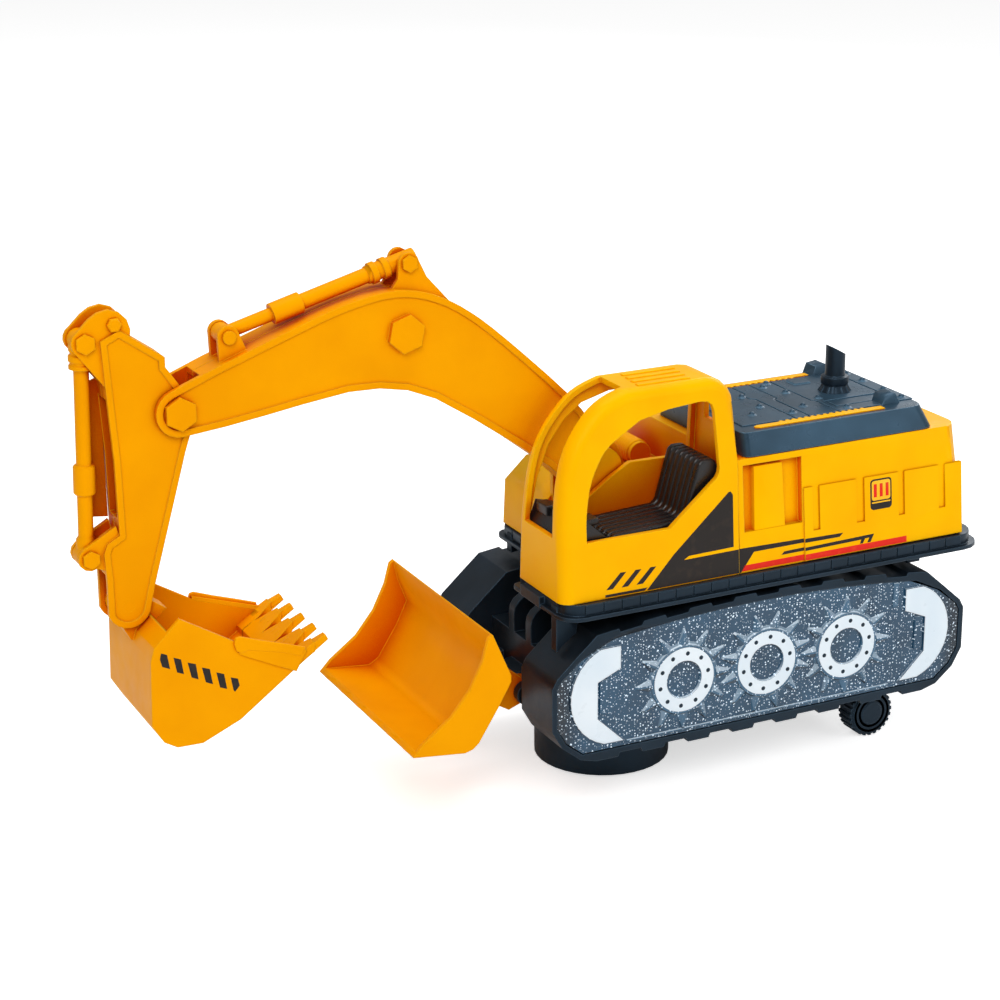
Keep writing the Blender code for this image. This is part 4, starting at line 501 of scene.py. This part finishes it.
def spike(x, side, turn):
    """One pointed tooth of a gear relief: a steep roof on three sides that falls away from the drum."""
    shape = bmesh.new()
    base, tip = 15.4, 22.6
    points = [(base, -2.9, 0), (base, 2.9, 0), (base, -0.5, 1.15), (base, 0.5, 1.15), (tip - 1.2, -0.35, 1.0)]
    points += [(tip - 1.2, 0.35, 1.0), (tip, -0.5, 0), (tip, 0.5, 0), (base, -2.9, -0.4), (base, 2.9, -0.4)]
    points += [(tip, -0.5, -0.4), (tip, 0.5, -0.4)]
    for out, across, rise in points:
        along = out * math.cos(turn) - across * math.sin(turn)
        up = out * math.sin(turn) + across * math.cos(turn)
        shape.verts.new(at(x + along, side * (WINDOW_Y + rise), GEAR_Z + up))
    hull = bmesh.ops.convex_hull(shape, input=shape.verts)
    bmesh.ops.delete(shape, geom=hull["geom_interior"], context="VERTS")
    return shape


def window_outline():
    """The window's edge, 2.5 mm inside the track: arched top, faceted ends, flat bottom."""
    end = [(86.9, 70.0), (96.2, 62.6), (98.4, 59.2), (98.4, 41.7), (94.5, 34.9), (86.9, 28.7)]
    top = [(x, 80.8 - 3.8 * (x / 68.0) ** 2) for x in range(-72, 73, 12)]
    return [(-x, z) for x, z in reversed(end)] + top + end


def end_plate(way, inset):
    """The C shaped plate at one end of the panel."""
    inner = [(69.5 + inset, 73.6 - inset), (69.5 + inset, 63.5), (80.1 + inset, 59.0), (80.1 + inset, 43.0)]
    inner += [(67.3 + 3 * inset, 31.0 + inset)]
    turns = [math.radians(angle) for angle in range(-72, 69, 10)]
    radius = 22.6 - inset
    outer = [(70.5 + radius * math.cos(turn), 52.6 + radius * math.sin(turn)) for turn in turns]
    return [(way * x, z) for x, z in inner + outer]


glitter = clear_glitter("clear_polystyrene_with_glitter", "#0F2F45", "#2E6488", 0.5)
# The relief is the same clear polystyrene as the window, given a paler haze and full glint strength: a painted
# highlight.
clear_relief_painted_lighter = clear_glitter("clear_polystyrene_relief_painted_lighter", "#21435A", "#4F83A8", 1.0)
# Its pure white edge colour is partly a painted highlight.
foil = moulded_plastic("white_hot_stamped_foil", "#DDEBF5", "#EAF4FB", "#FFFFFF", 0.3, 1.5)
for side, label in ((-1, "left"), (1, "right")):
    low, high = sorted((side * (WINDOW_Y - 1.3), side * WINDOW_Y))
    shapes = [side_plate(window_outline(), low, high)]
    low, high = sorted((side * (WINDOW_Y - 0.3), side * (WINDOW_Y + 0.85)))
    plates = []
    for way in (-1, 1):
        shapes.append(side_plate(end_plate(way, 0.0), low, high, 0.15))
        bar = sorted((way * 75.2, way * 79.4))
        shapes.append(block((bar[0], low, 44.6), (bar[1], high, 59.8), 0.35))
        top = sorted((side * (WINDOW_Y + 0.6), side * (WINDOW_Y + 0.98)))
        plates.append(side_plate(end_plate(way, 0.35), top[0], top[1], 0.1))
    rib = sorted((side * (WINDOW_Y - 0.3), side * (WINDOW_Y + 0.55)))
    dots = []
    relief = [block((-66.6, rib[0], 29.9), (62.8, rib[1], 30.9), 0.25)]
    relief.append(block((63.6, rib[0], 66.0), (66.3, rib[1], 77.0), 0.3))
    for index, x in enumerate((-40, 0, 40)):
        centre, axis = (x, side * WINDOW_Y, GEAR_Z), (0, side, 0)
        drum = [(16.6, -0.3), (16.4, 0.05), (15.6, 0.3), (15.2, 0.85), (14.7, 1.0)]
        drum += [(8.2, 1.0), (7.9, 0.7), (7.9, -0.3)]
        relief.append(lathe(drum, centre, axis, 60))
        for tooth in range(GEAR_TEETH):
            relief.append(spike(x, side, math.tau * (tooth + index % 2 * 0.5) / GEAR_TEETH))
        ring = [(14.1, 0.95), (14.1, 1.08), (13.95, 1.14), (8.45, 1.14), (8.3, 1.08), (8.3, 0.95)]
        plates.append(lathe(ring, centre, axis, 60))
        for hole in range(HOLES):
            turn = math.tau * (hole + 0.3) / HOLES
            spot = (x + HOLE_CIRCLE * math.cos(turn), side * WINDOW_Y, GEAR_Z + HOLE_CIRCLE * math.sin(turn))
            dots.append(lathe([(0.95, 1.05), (0.95, 1.16), (0.85, 1.18), (0, 1.18)], spot, axis, 14))
    window = fit(gather(shapes), f"glitter_window_{label}", glitter, "base")
    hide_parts(f"side_panel_{label}")
    fit(gather(relief), f"gear_relief_{label}", clear_relief_painted_lighter, "base", 20)
    fit(gather(plates), f"white_rings_and_plates_{label}", foil, "base")
    fit(gather(dots), f"ring_holes_{label}", black_plastic, "base")

# Body shell
# One yellow ABS moulding: cab, boom bay, far deck and engine housing. ABS has a satin skin; a deeper orange is
# painted into its recesses as painted shade, and its edges are painted paler, partly as a painted highlight.
# E05A00 is painted into recesses as painted shade, and the edge colour #FFD21C is partly a painted highlight.
yellow_abs = moulded_plastic(
    "moulded_yellow_abs", "#FFB400", "#FFBE00", "#FFD21C", 0.34, 1.53, 0.0006, "#E05A00", "#FFE27A", 0.1
)
moulding("body_shell", yellow_abs)

# Cab console and seat
# Dull black polypropylene. The seat is moulded with rounded flutes that run up its squab and back.
# Its paler edge colour #3E3A3A is partly a painted highlight.
dull_black = moulded_plastic("moulded_soft_black_polypropylene", "#100F10", "#1A1818", "#3E3A3A", 0.3, 1.49)
moulding("cab_console", dull_black)
moulding("seat", dull_black)
FLUTES, FLUTE_LOW, FLUTE_HIGH = 7, -45.2, -18.3
flute_pitch = (FLUTE_HIGH - FLUTE_LOW) / FLUTES
flute_side = [(-67.8, 109.0), (-69.2, 112.0), (-68.6, 116.0), (-66.8, 116.9), (-36.2, 118.6), (-34.4, 120.2)]
flute_side += [(-28.4, 141.2), (-26.6, 142.8), (-21.4, 142.7), (-19.6, 141.0), (-20.2, 135.0), (-24.5, 113.0)]
flute_side += [(-30.0, 109.5)]
flutes = [
    side_plate(flute_side, FLUTE_LOW + i * flute_pitch + 0.1, FLUTE_LOW + (i + 1) * flute_pitch - 0.1, 1.15, 3)
    for i in range(FLUTES)
]
fit(gather(flutes), "seat_flutes", dull_black, "base", 50)
console_bits = [
    block((-91.0, -40.0, 124.5), (-86.0, -36.0, 129.3), 0.6),
    block((-91.0, -31.0, 124.5), (-86.0, -22.0, 128.8), 0.6),
    block((-80.0, -41.0, 121.0), (-72.0, -33.0, 123.8), 0.6),
]
fit(gather(console_bits), "console_controls", dull_black, "base")

# Ribbed drum on the far deck
# A winding drum is moulded on the far deck, with ridges round it like a coiled rope.
COIL_TURNS, COIL_PITCH, COIL_LOW, COIL_HIGH = 17, 1.55, 5.3, 5.72
coil = [(COIL_LOW, 16.2)]
for turn in range(COIL_TURNS):
    start = turn * COIL_PITCH
    coil += [(COIL_HIGH, 16.7 + start), (COIL_HIGH, 17.2 + start), (COIL_LOW, 17.75 + start)]
coil.append((4.6, 43.4))
fit(lathe(coil, (-22.5, 0, 128.6), (0, 1, 0), 32), "drum_ridges", yellow_abs, "base", 30)

# Ribs on the cab's roof
# Four low ribs moulded in the roof, running fore and aft.
RIB_PITCH, RIB_STEP = 5.2, 0.6
ribs = []
for i in range(4):
    start, y = -55.0 + i * RIB_STEP, -41.3 + i * RIB_PITCH
    stop, far_y = -30.5 + i * RIB_STEP, -38.7 + i * RIB_PITCH
    ribs.append(block((start, y, 176.6), (stop, far_y, 177.55), 0.45, 3))
fit(gather(ribs), "roof_ribs", yellow_abs, "base", 50)

# Hood and exhaust
# The engine hood is slate black ABS with moulded planks, domed rivets, a slot and two wedge blocks.
# The exhaust plugs in at the rear: a ribbed foot, a collar and a tube cut at a slant.
# The pale blue edge colour #6F93AC is partly a painted highlight.
hood_black = moulded_plastic(
    "moulded_slate_black_abs", "#263947", "#314A5C", "#6F93AC", 0.3, 1.53, sheen_tint="#A9D2F5"
)
moulding("hood", hood_black)
HOOD_Z = 151.0
PIPE_X, PIPE_Y = 61.5, -8.0


def top_plate(outline, rise=0.45, edge=0.15):
    """A thin plate on the hood: an outline of x and y."""
    shape = bmesh.new()
    face = shape.faces.new([shape.verts.new(at(x, y, HOOD_Z - 0.1)) for x, y in outline])
    swept = bmesh.ops.extrude_face_region(shape, geom=[face])["geom"]
    moved = [item for item in swept if isinstance(item, bmesh.types.BMVert)]
    bmesh.ops.translate(shape, verts=moved, vec=(0, 0, (rise + 0.1) * MM))
    bmesh.ops.recalc_face_normals(shape, faces=shape.faces)
    return rounded_edges(shape, edge)


planks = [
    [(-2.0, -35.6), (23.2, -35.6), (23.2, -4.6), (21.2, -2.6), (21.2, 3.0), (23.6, 5.4), (23.6, 16.6), (-2.0, 16.6)],
    [(24.0, -35.6), (30.2, -35.6), (30.2, -8.6), (32.4, -6.4), (32.4, 16.6), (24.4, 16.6), (24.4, 5.0), (22.0, 2.6)]
    + [(22.0, -2.2), (24.0, -4.2)],
    [(31.0, -35.6), (45.0, -35.6), (45.0, -18.6), (43.4, -17.0), (43.4, 16.6), (33.2, 16.6), (33.2, -6.8)]
    + [(31.0, -9.0)],
    [(45.8, -35.6), (76.4, -35.6), (76.4, -29.5), (48.0, -29.5), (48.0, -20.0), (76.4, -20.0), (76.4, 16.6)]
    + [(44.2, 16.6), (44.2, -16.6), (45.8, -18.2)],
    [(49.0, -28.7), (67.5, -28.7), (67.5, -21.6), (49.0, -21.6)],
    [(77.3, -34.0), (84.3, -34.0), (84.3, 19.0), (77.3, 19.0)],
]
detail = [top_plate(outline) for outline in planks]
detail.append(top_plate([(50.6, 6.6), (58.8, 6.6), (58.8, 13.6), (50.6, 13.6)], 1.1))
rivet_places = [(20.0, 1.1), (36.0, 9.9), (40.5, 14.2), (40.6, -1.4), (48.6, -15.0), (35.9, -22.5), (19.0, -15.0)]
rivet_places += [(26.6, -28.6), (51.5, -32.4), (9.8, -23.7), (80.8, 12.0), (80.8, -1.0), (80.8, -17.0), (80.8, -30.5)]
rivet_places += [(9.8, 9.0), (70.0, 12.5)]
for x, y in rivet_places:
    dome = [(2.0, 0.0), (1.95, 0.25), (1.7, 0.35), (1.35, 0.4), (1.2, 0.9), (0.85, 1.25), (0.4, 1.42), (0, 1.45)]
    detail.append(lathe(dome, (x, y, HOOD_Z + 0.4), (0, 0, 1), 20))
fit(gather(detail), "hood_planks_and_rivets", hood_black, "base")
strips = []
STRIP_TEETH, STRIP_PITCH = 14, 3.1
for middle, inner in ((-39.3, 1), (19.4, -1)):
    root, tip = middle + inner * 1.5, middle + inner * 2.7
    outline = [(3.2, root), (1.4, middle + inner * 0.4), (1.4, middle - inner * 0.8)]
    outline += [(3.2, middle - inner * 2.0), (65.0, middle - inner * 2.0), (65.0, root)]
    for tooth in range(STRIP_TEETH):
        x = 57.0 - tooth * STRIP_PITCH
        outline += [(x, root), (x - 0.5, tip), (x - 1.7, tip), (x - 2.2, root)]
    strips.append(top_plate(outline, 0.62, 0.12))
fit(gather(strips), "hood_yellow_strips", yellow_abs, "base")

pipe_foot = (PIPE_X, PIPE_Y, HOOD_Z)
tube = lathe([(4.35, 5.0), (4.25, 26.0), (3.4, 26.0), (3.4, 12.0), (0, 11.8)], pipe_foot, (0, 0, 1), 64)
slant = Vector((0.52, 0.0, 0.9)).normalized()
sliced = bmesh.ops.bisect_plane(
    tube,
    geom=tube.verts[:] + tube.edges[:] + tube.faces[:],
    plane_co=at(PIPE_X, PIPE_Y, HOOD_Z + 18.8),
    plane_no=slant,
    clear_outer=True,
)
rim = [item for item in sliced["geom_cut"] if isinstance(item, bmesh.types.BMEdge)]
bmesh.ops.bridge_loops(tube, edges=rim)
collar = [(6.9, 0.1), (6.7, 0.9), (5.9, 2.2), (5.3, 3.2), (5.2, 3.6), (5.9, 3.8), (6.05, 4.3), (6.05, 6.6)]
collar += [(5.85, 7.1), (5.4, 7.3), (4.2, 7.35)]
foot_shapes = [tube, lathe(collar, pipe_foot, (0, 0, 1), 64)]
FINS = 12
fin_corners = [(5.0, -0.4, 0), (5.0, 0.4, 0), (7.5, -0.4, 0), (7.5, 0.4, 0), (5.4, -0.3, 3.3), (5.4, 0.3, 3.3)]
for fin in range(FINS):
    turn = math.tau * fin / FINS
    shape = bmesh.new()
    for out, across, rise in fin_corners:
        x = PIPE_X + out * math.cos(turn) - across * math.sin(turn)
        y = PIPE_Y + out * math.sin(turn) + across * math.cos(turn)
        shape.verts.new(at(x, y, HOOD_Z + rise + 0.2))
    bmesh.ops.convex_hull(shape, input=shape.verts)
    foot_shapes.append(shape)
exhaust = fit(gather(foot_shapes), "ribbed_exhaust", black_plastic, "base", 40)
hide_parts("exhaust_pipe")

# Printed stripes and plates
# Pad printed inks and one laid-on sticker: black, red and yellow, a few hundredths of a millimetre thick.
# The print is matt, a little uneven, and its edge shows as a fine step.


def printing_ink(name, colour, thin, roughness):
    """Printing ink: mottled where the pad left it thin, with a fine orange-peel skin."""
    made, tree, shader, place = start_material(name)
    mottle = add(tree, "ShaderNodeTexNoise", {"Vector": place, "Scale": 1 / 0.0035, "Detail": 5.0})
    patch = add(tree, "ShaderNodeMapRange", {"Value": mottle.outputs[0], "From Min": 0.52, "From Max": 0.75})
    tone = add(
        tree,
        "ShaderNodeMix",
        {0: patch.outputs[0], 6: linear(colour), 7: linear(thin)},
        data_type="RGBA",
    )
    gloss = add(
        tree,
        "ShaderNodeMapRange",
        {"Value": mottle.outputs[0], "To Min": roughness - 0.08, "To Max": roughness + 0.1},
    )
    peel = add(tree, "ShaderNodeTexNoise", {"Vector": place, "Scale": 1 / 0.0007, "Detail": 2.0})
    skin = add(tree, "ShaderNodeBump", {"Height": peel.outputs[0], "Strength": 0.15, "Distance": 0.00004})
    tree.links.new(tone.outputs[2], shader.inputs["Base Color"])
    tree.links.new(gloss.outputs[0], shader.inputs["Roughness"])
    tree.links.new(skin.outputs[0], shader.inputs["Normal"])
    shader.inputs["IOR"].default_value = 1.5
    shader.inputs["Specular IOR Level"].default_value = 0.3
    return made


WALL_FOOT_Y, WALL_FOOT_Z = 51.97, 93.3
CAB_LEAN, HOUSING_LEAN, PANEL_RISE = 0.07, 0.1, 0.8


def on_wall(outline, side, rate, proud=0.0, thick=0.06):
    """Ink on a leaning side wall: the outline's x and z, with y from the wall."""
    shape = bmesh.new()
    rim = []
    for x, z in outline:
        y = WALL_FOOT_Y + proud - rate * (z - WALL_FOOT_Z)
        rim.append(shape.verts.new(at(x, side * y, z)))
    swept = bmesh.ops.extrude_face_region(shape, geom=[shape.faces.new(rim)])["geom"]
    moved = [item for item in swept if isinstance(item, bmesh.types.BMVert)]
    bmesh.ops.translate(shape, verts=moved, vec=(0, side * (thick + 0.03) * MM, 0))
    return shape


black_ink = printing_ink("black_pad_print", "#211B18", "#30261F", 0.42)
red_ink = printing_ink("red_pad_print", "#E81C00", "#EC3A08", 0.42)
yellow_ink = printing_ink("yellow_sticker_film", "#FFBE12", "#FFC934", 0.3)

PANEL_FRONT = 19.95
HOUSING_FRONT, PANEL_SEAM = -11.95, 19.85
dark = [
    on_wall(
        [(-16.6, 128.9), (-15.6, 129.0), (-14.6, 127.4), (-14.6, 105.3), (-35.8, 104.9), (-38.4, 103.5)]
        + [(-12.15, 103.8), (-12.15, 93.6), (-55.9, 93.6), (-43.0, 106.6)],
        -1,
        CAB_LEAN,
    ),
    on_wall(
        [(HOUSING_FRONT, 103.8), (PANEL_SEAM, 103.3), (PANEL_SEAM, 101.6), (-4.7, 101.5), (-11.2, 93.6)]
        + [(HOUSING_FRONT, 93.6)],
        -1,
        HOUSING_LEAN,
    ),
    on_wall(
        [(PANEL_FRONT, 103.3), (38.8, 103.0), (37.0, 101.5), (PANEL_FRONT, 101.6)], -1, HOUSING_LEAN, PANEL_RISE
    ),
    on_wall([(8.5, 98.0), (10.1, 99.3), (PANEL_SEAM, 99.5), (PANEL_SEAM, 98.1)], -1, HOUSING_LEAN),
    on_wall(
        [(PANEL_FRONT, 98.1), (PANEL_FRONT, 99.5), (54.4, 100.2), (52.6, 96.9), (50.9, 96.9), (52.0, 98.9)]
        + [(49.8, 98.8), (48.7, 96.9), (47.2, 96.9), (48.0, 98.6)],
        -1,
        HOUSING_LEAN,
        PANEL_RISE,
    ),
    on_wall([(-75.0, 93.7), (-75.0, 94.8), (-55.6, 94.8), (-56.8, 93.7)], -1, CAB_LEAN),
]
for x in (-74.5, -67.5, -60.6):
    dark.append(on_wall([(x, 96.8), (x + 6.7, 103.1), (x + 9.3, 103.0), (x + 3.0, 96.8)], -1, CAB_LEAN))
dark.append(
    on_wall([(-66.0, 103.0), (PANEL_SEAM, 103.0), (PANEL_SEAM, 101.5), (-67.5, 101.5)], 1, HOUSING_LEAN)
)
dark.append(
    on_wall(
        [(PANEL_FRONT, 103.0), (38.8, 103.0), (37.0, 101.5), (PANEL_FRONT, 101.5)], 1, HOUSING_LEAN, PANEL_RISE
    )
)
for x in (-60.0, -53.0, -46.0):
    dark.append(on_wall([(x, 106.0), (x + 6.7, 112.4), (x + 9.3, 112.4), (x + 2.6, 106.0)], 1, HOUSING_LEAN))
fit(gather(dark), "black_printed_stripes", black_ink, "base", 20)

red = []
for side in (-1, 1):
    stripe = [(-9.4, 96.4), (PANEL_SEAM, 96.5), (PANEL_SEAM, 94.0), (-11.0, 94.0)]
    red.append(on_wall(stripe, side, HOUSING_LEAN))
    stripe = [(PANEL_FRONT, 96.5), (71.0, 96.7), (71.0, 94.0), (PANEL_FRONT, 94.0)]
    red.append(on_wall(stripe, side, HOUSING_LEAN, PANEL_RISE))
fit(gather(red), "red_printed_stripes", red_ink, "base", 20)


def rounded_plate(x_low, x_high, z_low, z_high, radius, side, lift):
    """A plate with round corners on the lower housing panels."""
    outline = []
    for cx, cz, start in (
        (x_high - radius, z_high - radius, 0),
        (x_low + radius, z_high - radius, 90),
        (x_low + radius, z_low + radius, 180),
        (x_high - radius, z_low + radius, 270),
    ):
        for step in range(5):
            turn = math.radians(start + step * 22.5)
            outline.append((cx + radius * math.cos(turn), cz + radius * math.sin(turn)))
    return on_wall(outline, side, HOUSING_LEAN, PANEL_RISE + lift, 0.05)


frames, films, bars = [], [], []
for side in (-1, 1):
    frames.append(rounded_plate(52.9, 63.7, 110.4, 123.6, 1.6, side, 0.0))
    films.append(rounded_plate(53.6, 63.0, 114.4, 122.9, 1.1, side, 0.06))
    films.append(rounded_plate(53.6, 63.0, 113.2, 113.8, 0.2, side, 0.06))
    for x in (54.6, 57.6, 60.6):
        bars.append(rounded_plate(x, x + 1.5, 115.8, 121.5, 0.2, side, 0.1))
fit(gather(frames), "sticker_frame", black_ink, "base", 20)
fit(gather(films), "sticker_film", yellow_ink, "base", 20)
fit(gather(bars), "sticker_bars", red_ink, "base", 20)

# Digging arm and shovel
# Orange yellow polypropylene: softer and a little more waxy than the body's ABS, with a deeper red orange painted
# into its recesses as painted shade.
# The boom and stick are each two half shells on a seam, the pins have moulded heads, and the shovel is one moulding.
# CC4A00 is painted into recesses as painted shade, and the edge colour #FFBC1C is partly a painted highlight.
orange_pp = moulded_plastic(
    "moulded_orange_polypropylene", "#F49D00", "#FAA500", "#FFBC1C", 0.36, 1.49, 0.0007, "#CC4A00", "#FFDC7A", 0.07
)
arm_nodes = ["boom_half_left", "boom_half_right", "arm_cylinder", "arm_cylinder_pin_front", "arm_cylinder_pin_rear"]
arm_nodes += ["stick_half_left", "stick_half_right", "stick_pin", "stick_cylinder_pin_top"]
arm_nodes += ["stick_cylinder_pin_foot", "shovel"]
for node in arm_nodes:
    moulding(node, orange_pp)

# Bucket
# The same orange polypropylene. Its lip runs out into five teeth, broad at the root and blunt at the tip, and a
# cutter is moulded on each side. A row of black bars is printed on the side.
TEETH, TOOTH_PITCH, OUTER_TOOTH_Y, INNER_FACE_Y = 5, 12.5, 24.4, 26.9
TIP_START_X, TIP_TAPER, LIP_HALF_WIDTH = -190.0, 0.55, 27.2
scoop = moulding("bucket", orange_pp)
for corner in scoop.data.vertices:
    if corner.co.x > at(TIP_START_X, 0, 0).x and abs(corner.co.y) < LIP_HALF_WIDTH * MM:
        middle = round(corner.co.y / MM / TOOTH_PITCH) * TOOTH_PITCH * MM
        middle = max(-OUTER_TOOTH_Y * MM, min(OUTER_TOOTH_Y * MM, middle))
        corner.co.y = middle + (corner.co.y - middle) * TIP_TAPER
fangs = []
for tooth in range(TEETH):
    middle = max(-OUTER_TOOTH_Y, min(OUTER_TOOTH_Y, (tooth - 2) * TOOTH_PITCH))
    shape = bmesh.new()
    for x, z_low, z_high, half in (
        (-205.0, 75.4, 78.6, 6.3),
        (-201.5, 76.6, 80.9, 6.25),
        (-197.6, 79.0, 83.0, 5.4),
        (-191.0, 83.0, 87.2, 2.35),
    ):
        for y in (max(-INNER_FACE_Y, middle - half), min(INNER_FACE_Y, middle + half)):
            shape.verts.new(at(x, y, z_low))
            shape.verts.new(at(x, y, z_high))
    bmesh.ops.convex_hull(shape, input=shape.verts)
    fangs.append(shape)
for side in (-1, 1):
    low, high = sorted((side * 26.6, side * 28.1))
    pad = [(-224.6, 92.6), (-223.9, 95.0), (-222.0, 95.3), (-213.5, 92.2), (-203.5, 88.9), (-195.2, 86.0)]
    pad += [(-197.4, 82.4), (-203.5, 85.0), (-213.0, 87.6), (-219.5, 89.0), (-221.6, 88.2), (-223.8, 89.6)]
    fangs.append(side_plate(pad, low, high, 0.35))
fit(gather(fangs), "bucket_teeth_and_cutters", orange_pp, "bucket", 40)

# Cylinder of the stick, and the stick's flange
# The cylinder is one orange moulding with rings round its head, a collar on its rod and an eye at each end.
# The far half of the stick has a flat flange behind it, and small hexagon heads close the crank's pin.
eye_top, eye_foot = Vector((-269.4, 0, 212.6)), Vector((-272.6, 0, 128.4))
along = (eye_foot - eye_top).normalized()
ram = [(0, 0.5), (4.2, 0.5), (4.6, 1.6), (4.6, 3.6), (4.1, 4.4), (4.1, 5.0), (4.8, 5.6), (4.8, 7.6), (4.2, 8.3)]
ram += [(4.2, 8.8), (4.7, 9.3), (4.7, 10.6), (3.1, 11.2), (2.95, 12.0), (2.95, 48.0), (3.7, 48.2), (4.25, 48.9)]
ram += [(4.25, 59.1), (3.7, 59.8), (2.95, 60.0), (2.95, 76.4), (3.8, 77.6), (3.9, 81.0), (3.0, 83.2), (0, 83.4)]
ram_shapes = [lathe(ram, eye_top, along, 40)]
for place, radius in ((eye_top, 4.3), (eye_foot, 4.6)):
    eye = [(1.9, -3.7), (radius - 0.4, -3.7), (radius, -3.3), (radius, 3.3), (radius - 0.4, 3.7), (1.9, 3.7)]
    eye.append((1.9, -3.7))
    ram_shapes.append(lathe(eye, place, (0, 1, 0), 32))
ram_piece = fit(gather(ram_shapes), "ringed_stick_cylinder", orange_pp, "stick", 40)
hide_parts("stick_cylinder")
flange = side_plate([(-261.6, 140.6), (-269.4, 141.6), (-268.4, 194.0), (-261.6, 196.5)], 5.2, 6.8, 0.3)
fit(flange, "stick_far_flange", orange_pp, "stick", 30)
pin_heads = []
for side in (-1, 1):
    for radius, thick in ((2.9, 1.5), (2.6, 1.9)):
        head = [(radius, 0), (radius, thick - 0.3), (radius - 0.3, thick), (0, thick)]
        pin_heads.append(lathe(head, (-258.0, side * 6.0, 218.6), (0, side, 0), 6))
fit(gather(pin_heads), "crank_pin_heads", orange_pp, "stick", 30)

# Bars on the bucket
# Six slanted bars are pad printed in black along each side of the bucket, the end ones cut to points.
# The ink is the same as on the body.
bar_outlines = [
    [(-253.7, 94.0), (-251.4, 93.0), (-250.5, 87.0), (-253.5, 88.4), (-254.3, 91.5)],
    [(-248.9, 91.4), (-246.0, 90.1), (-245.1, 83.9), (-247.8, 85.1)],
    [(-243.4, 88.3), (-240.2, 87.1), (-239.4, 80.6), (-242.1, 81.9)],
    [(-237.8, 85.2), (-234.7, 84.0), (-233.7, 77.5), (-236.5, 78.8)],
    [(-232.1, 82.1), (-229.0, 80.8), (-228.1, 74.4), (-230.9, 75.6)],
    [(-226.4, 78.9), (-223.5, 77.8), (-222.9, 74.8), (-224.9, 72.6), (-225.5, 73.4)],
]
bucket_bars = []
for side in (-1, 1):
    low, high = sorted((side * 26.95, side * 27.07))
    bucket_bars += [side_plate(outline, low, high) for outline in bar_outlines]
fit(gather(bucket_bars), "bucket_printed_bars", black_ink, "bucket", 20)

# Wheels
# Black moulded wheels on steel axles. The rear pair has a ribbed tread and a hub with turned rings.
for node in ("rear_wheel_left", "rear_wheel_right", "drive_wheel_left", "drive_wheel_right"):
    moulding(node, black_plastic)
REAR_AXLE_X, REAR_AXLE_Z, HUB_Y = 65.0, 11.0, 41.05
hubs = []
for side in (-1, 1):
    profile = [(9.3, -0.35), (9.3, 0.0), (9.1, 0.15), (7.9, 0.15), (7.7, -0.1), (7.0, -0.1), (6.8, 0.15), (5.6, 0.15)]
    profile += [(5.4, -0.1), (4.9, -0.1), (4.7, 0.25), (4.4, 0.4), (1.2, 0.4), (0.9, 0.1), (0, 0.1)]
    hubs.append(lathe(profile, (REAR_AXLE_X, side * HUB_Y, REAR_AXLE_Z), (0, side, 0), 48))
fit(gather(hubs), "rear_wheel_hubs", black_plastic, "rear_wheels")

# Steel, brass and nylon running gear
# Drawn and plated parts that the toy hides: axles, pins, screws, motor can, cells, pinion and the pale nylon gears.
# The lamp leads in red and yellow vinyl show through the clear panels.


def drawn_metal(name, shade, face, roughness, streak):
    """Drawn metal: streaks along its length, in its tone, its roughness and a fine bump."""
    made, tree, shader, place = start_material(name)
    long = add(tree, "ShaderNodeMapping", {"Vector": place, "Scale": (1 / 0.008, 1 / streak, 1 / streak)})
    lines = add(tree, "ShaderNodeTexNoise", {"Vector": long.outputs[0], "Scale": 1.0, "Detail": 5.0})
    tone = add(
        tree,
        "ShaderNodeMix",
        {0: lines.outputs[0], 6: linear(shade), 7: linear(face)},
        data_type="RGBA",
    )
    sheen = add(
        tree,
        "ShaderNodeMapRange",
        {"Value": lines.outputs[0], "To Min": roughness - 0.1, "To Max": roughness + 0.15},
    )
    skin = add(tree, "ShaderNodeBump", {"Height": lines.outputs[0], "Strength": 0.2, "Distance": 0.00003})
    tree.links.new(tone.outputs[2], shader.inputs["Base Color"])
    tree.links.new(sheen.outputs[0], shader.inputs["Roughness"])
    tree.links.new(skin.outputs[0], shader.inputs["Normal"])
    shader.inputs["Metallic"].default_value = 1.0
    return made


steel = drawn_metal("zinc_plated_steel", "#A9ABAE", "#D2D4D6", 0.3, 0.0006)
brass = drawn_metal("turned_brass", "#B8862F", "#E0B560", 0.28, 0.0005)
# Each of these has a paler edge colour that is partly a painted highlight, like every moulded_plastic finish.
nylon = moulded_plastic("moulded_white_nylon", "#DAD6C8", "#E8E5DA", "#F7F5EE", 0.42, 1.53, 0.0006)
lacquer = moulded_plastic("green_board_lacquer", "#0F4A26", "#176034", "#2B8A50", 0.28, 1.5, 0.0012)
red_vinyl = moulded_plastic("red_vinyl_insulation", "#C41E12", "#D92A1A", "#EE5A44", 0.34, 1.52)
yellow_vinyl = moulded_plastic("yellow_vinyl_insulation", "#E0AE12", "#F2C224", "#FFE070", 0.34, 1.52)
for node, slot in slot_of.items():
    finish = {"steel": steel, "brass": brass, "nylon": nylon, "board": lacquer, "red": red_vinyl}.get(slot)
    finish = yellow_vinyl if slot == "lead_yellow" else finish or black_plastic
    piece = frame["nodes"][node]
    if piece.hide_render:
        continue
    for place in piece.material_slots:
        place.material = finish
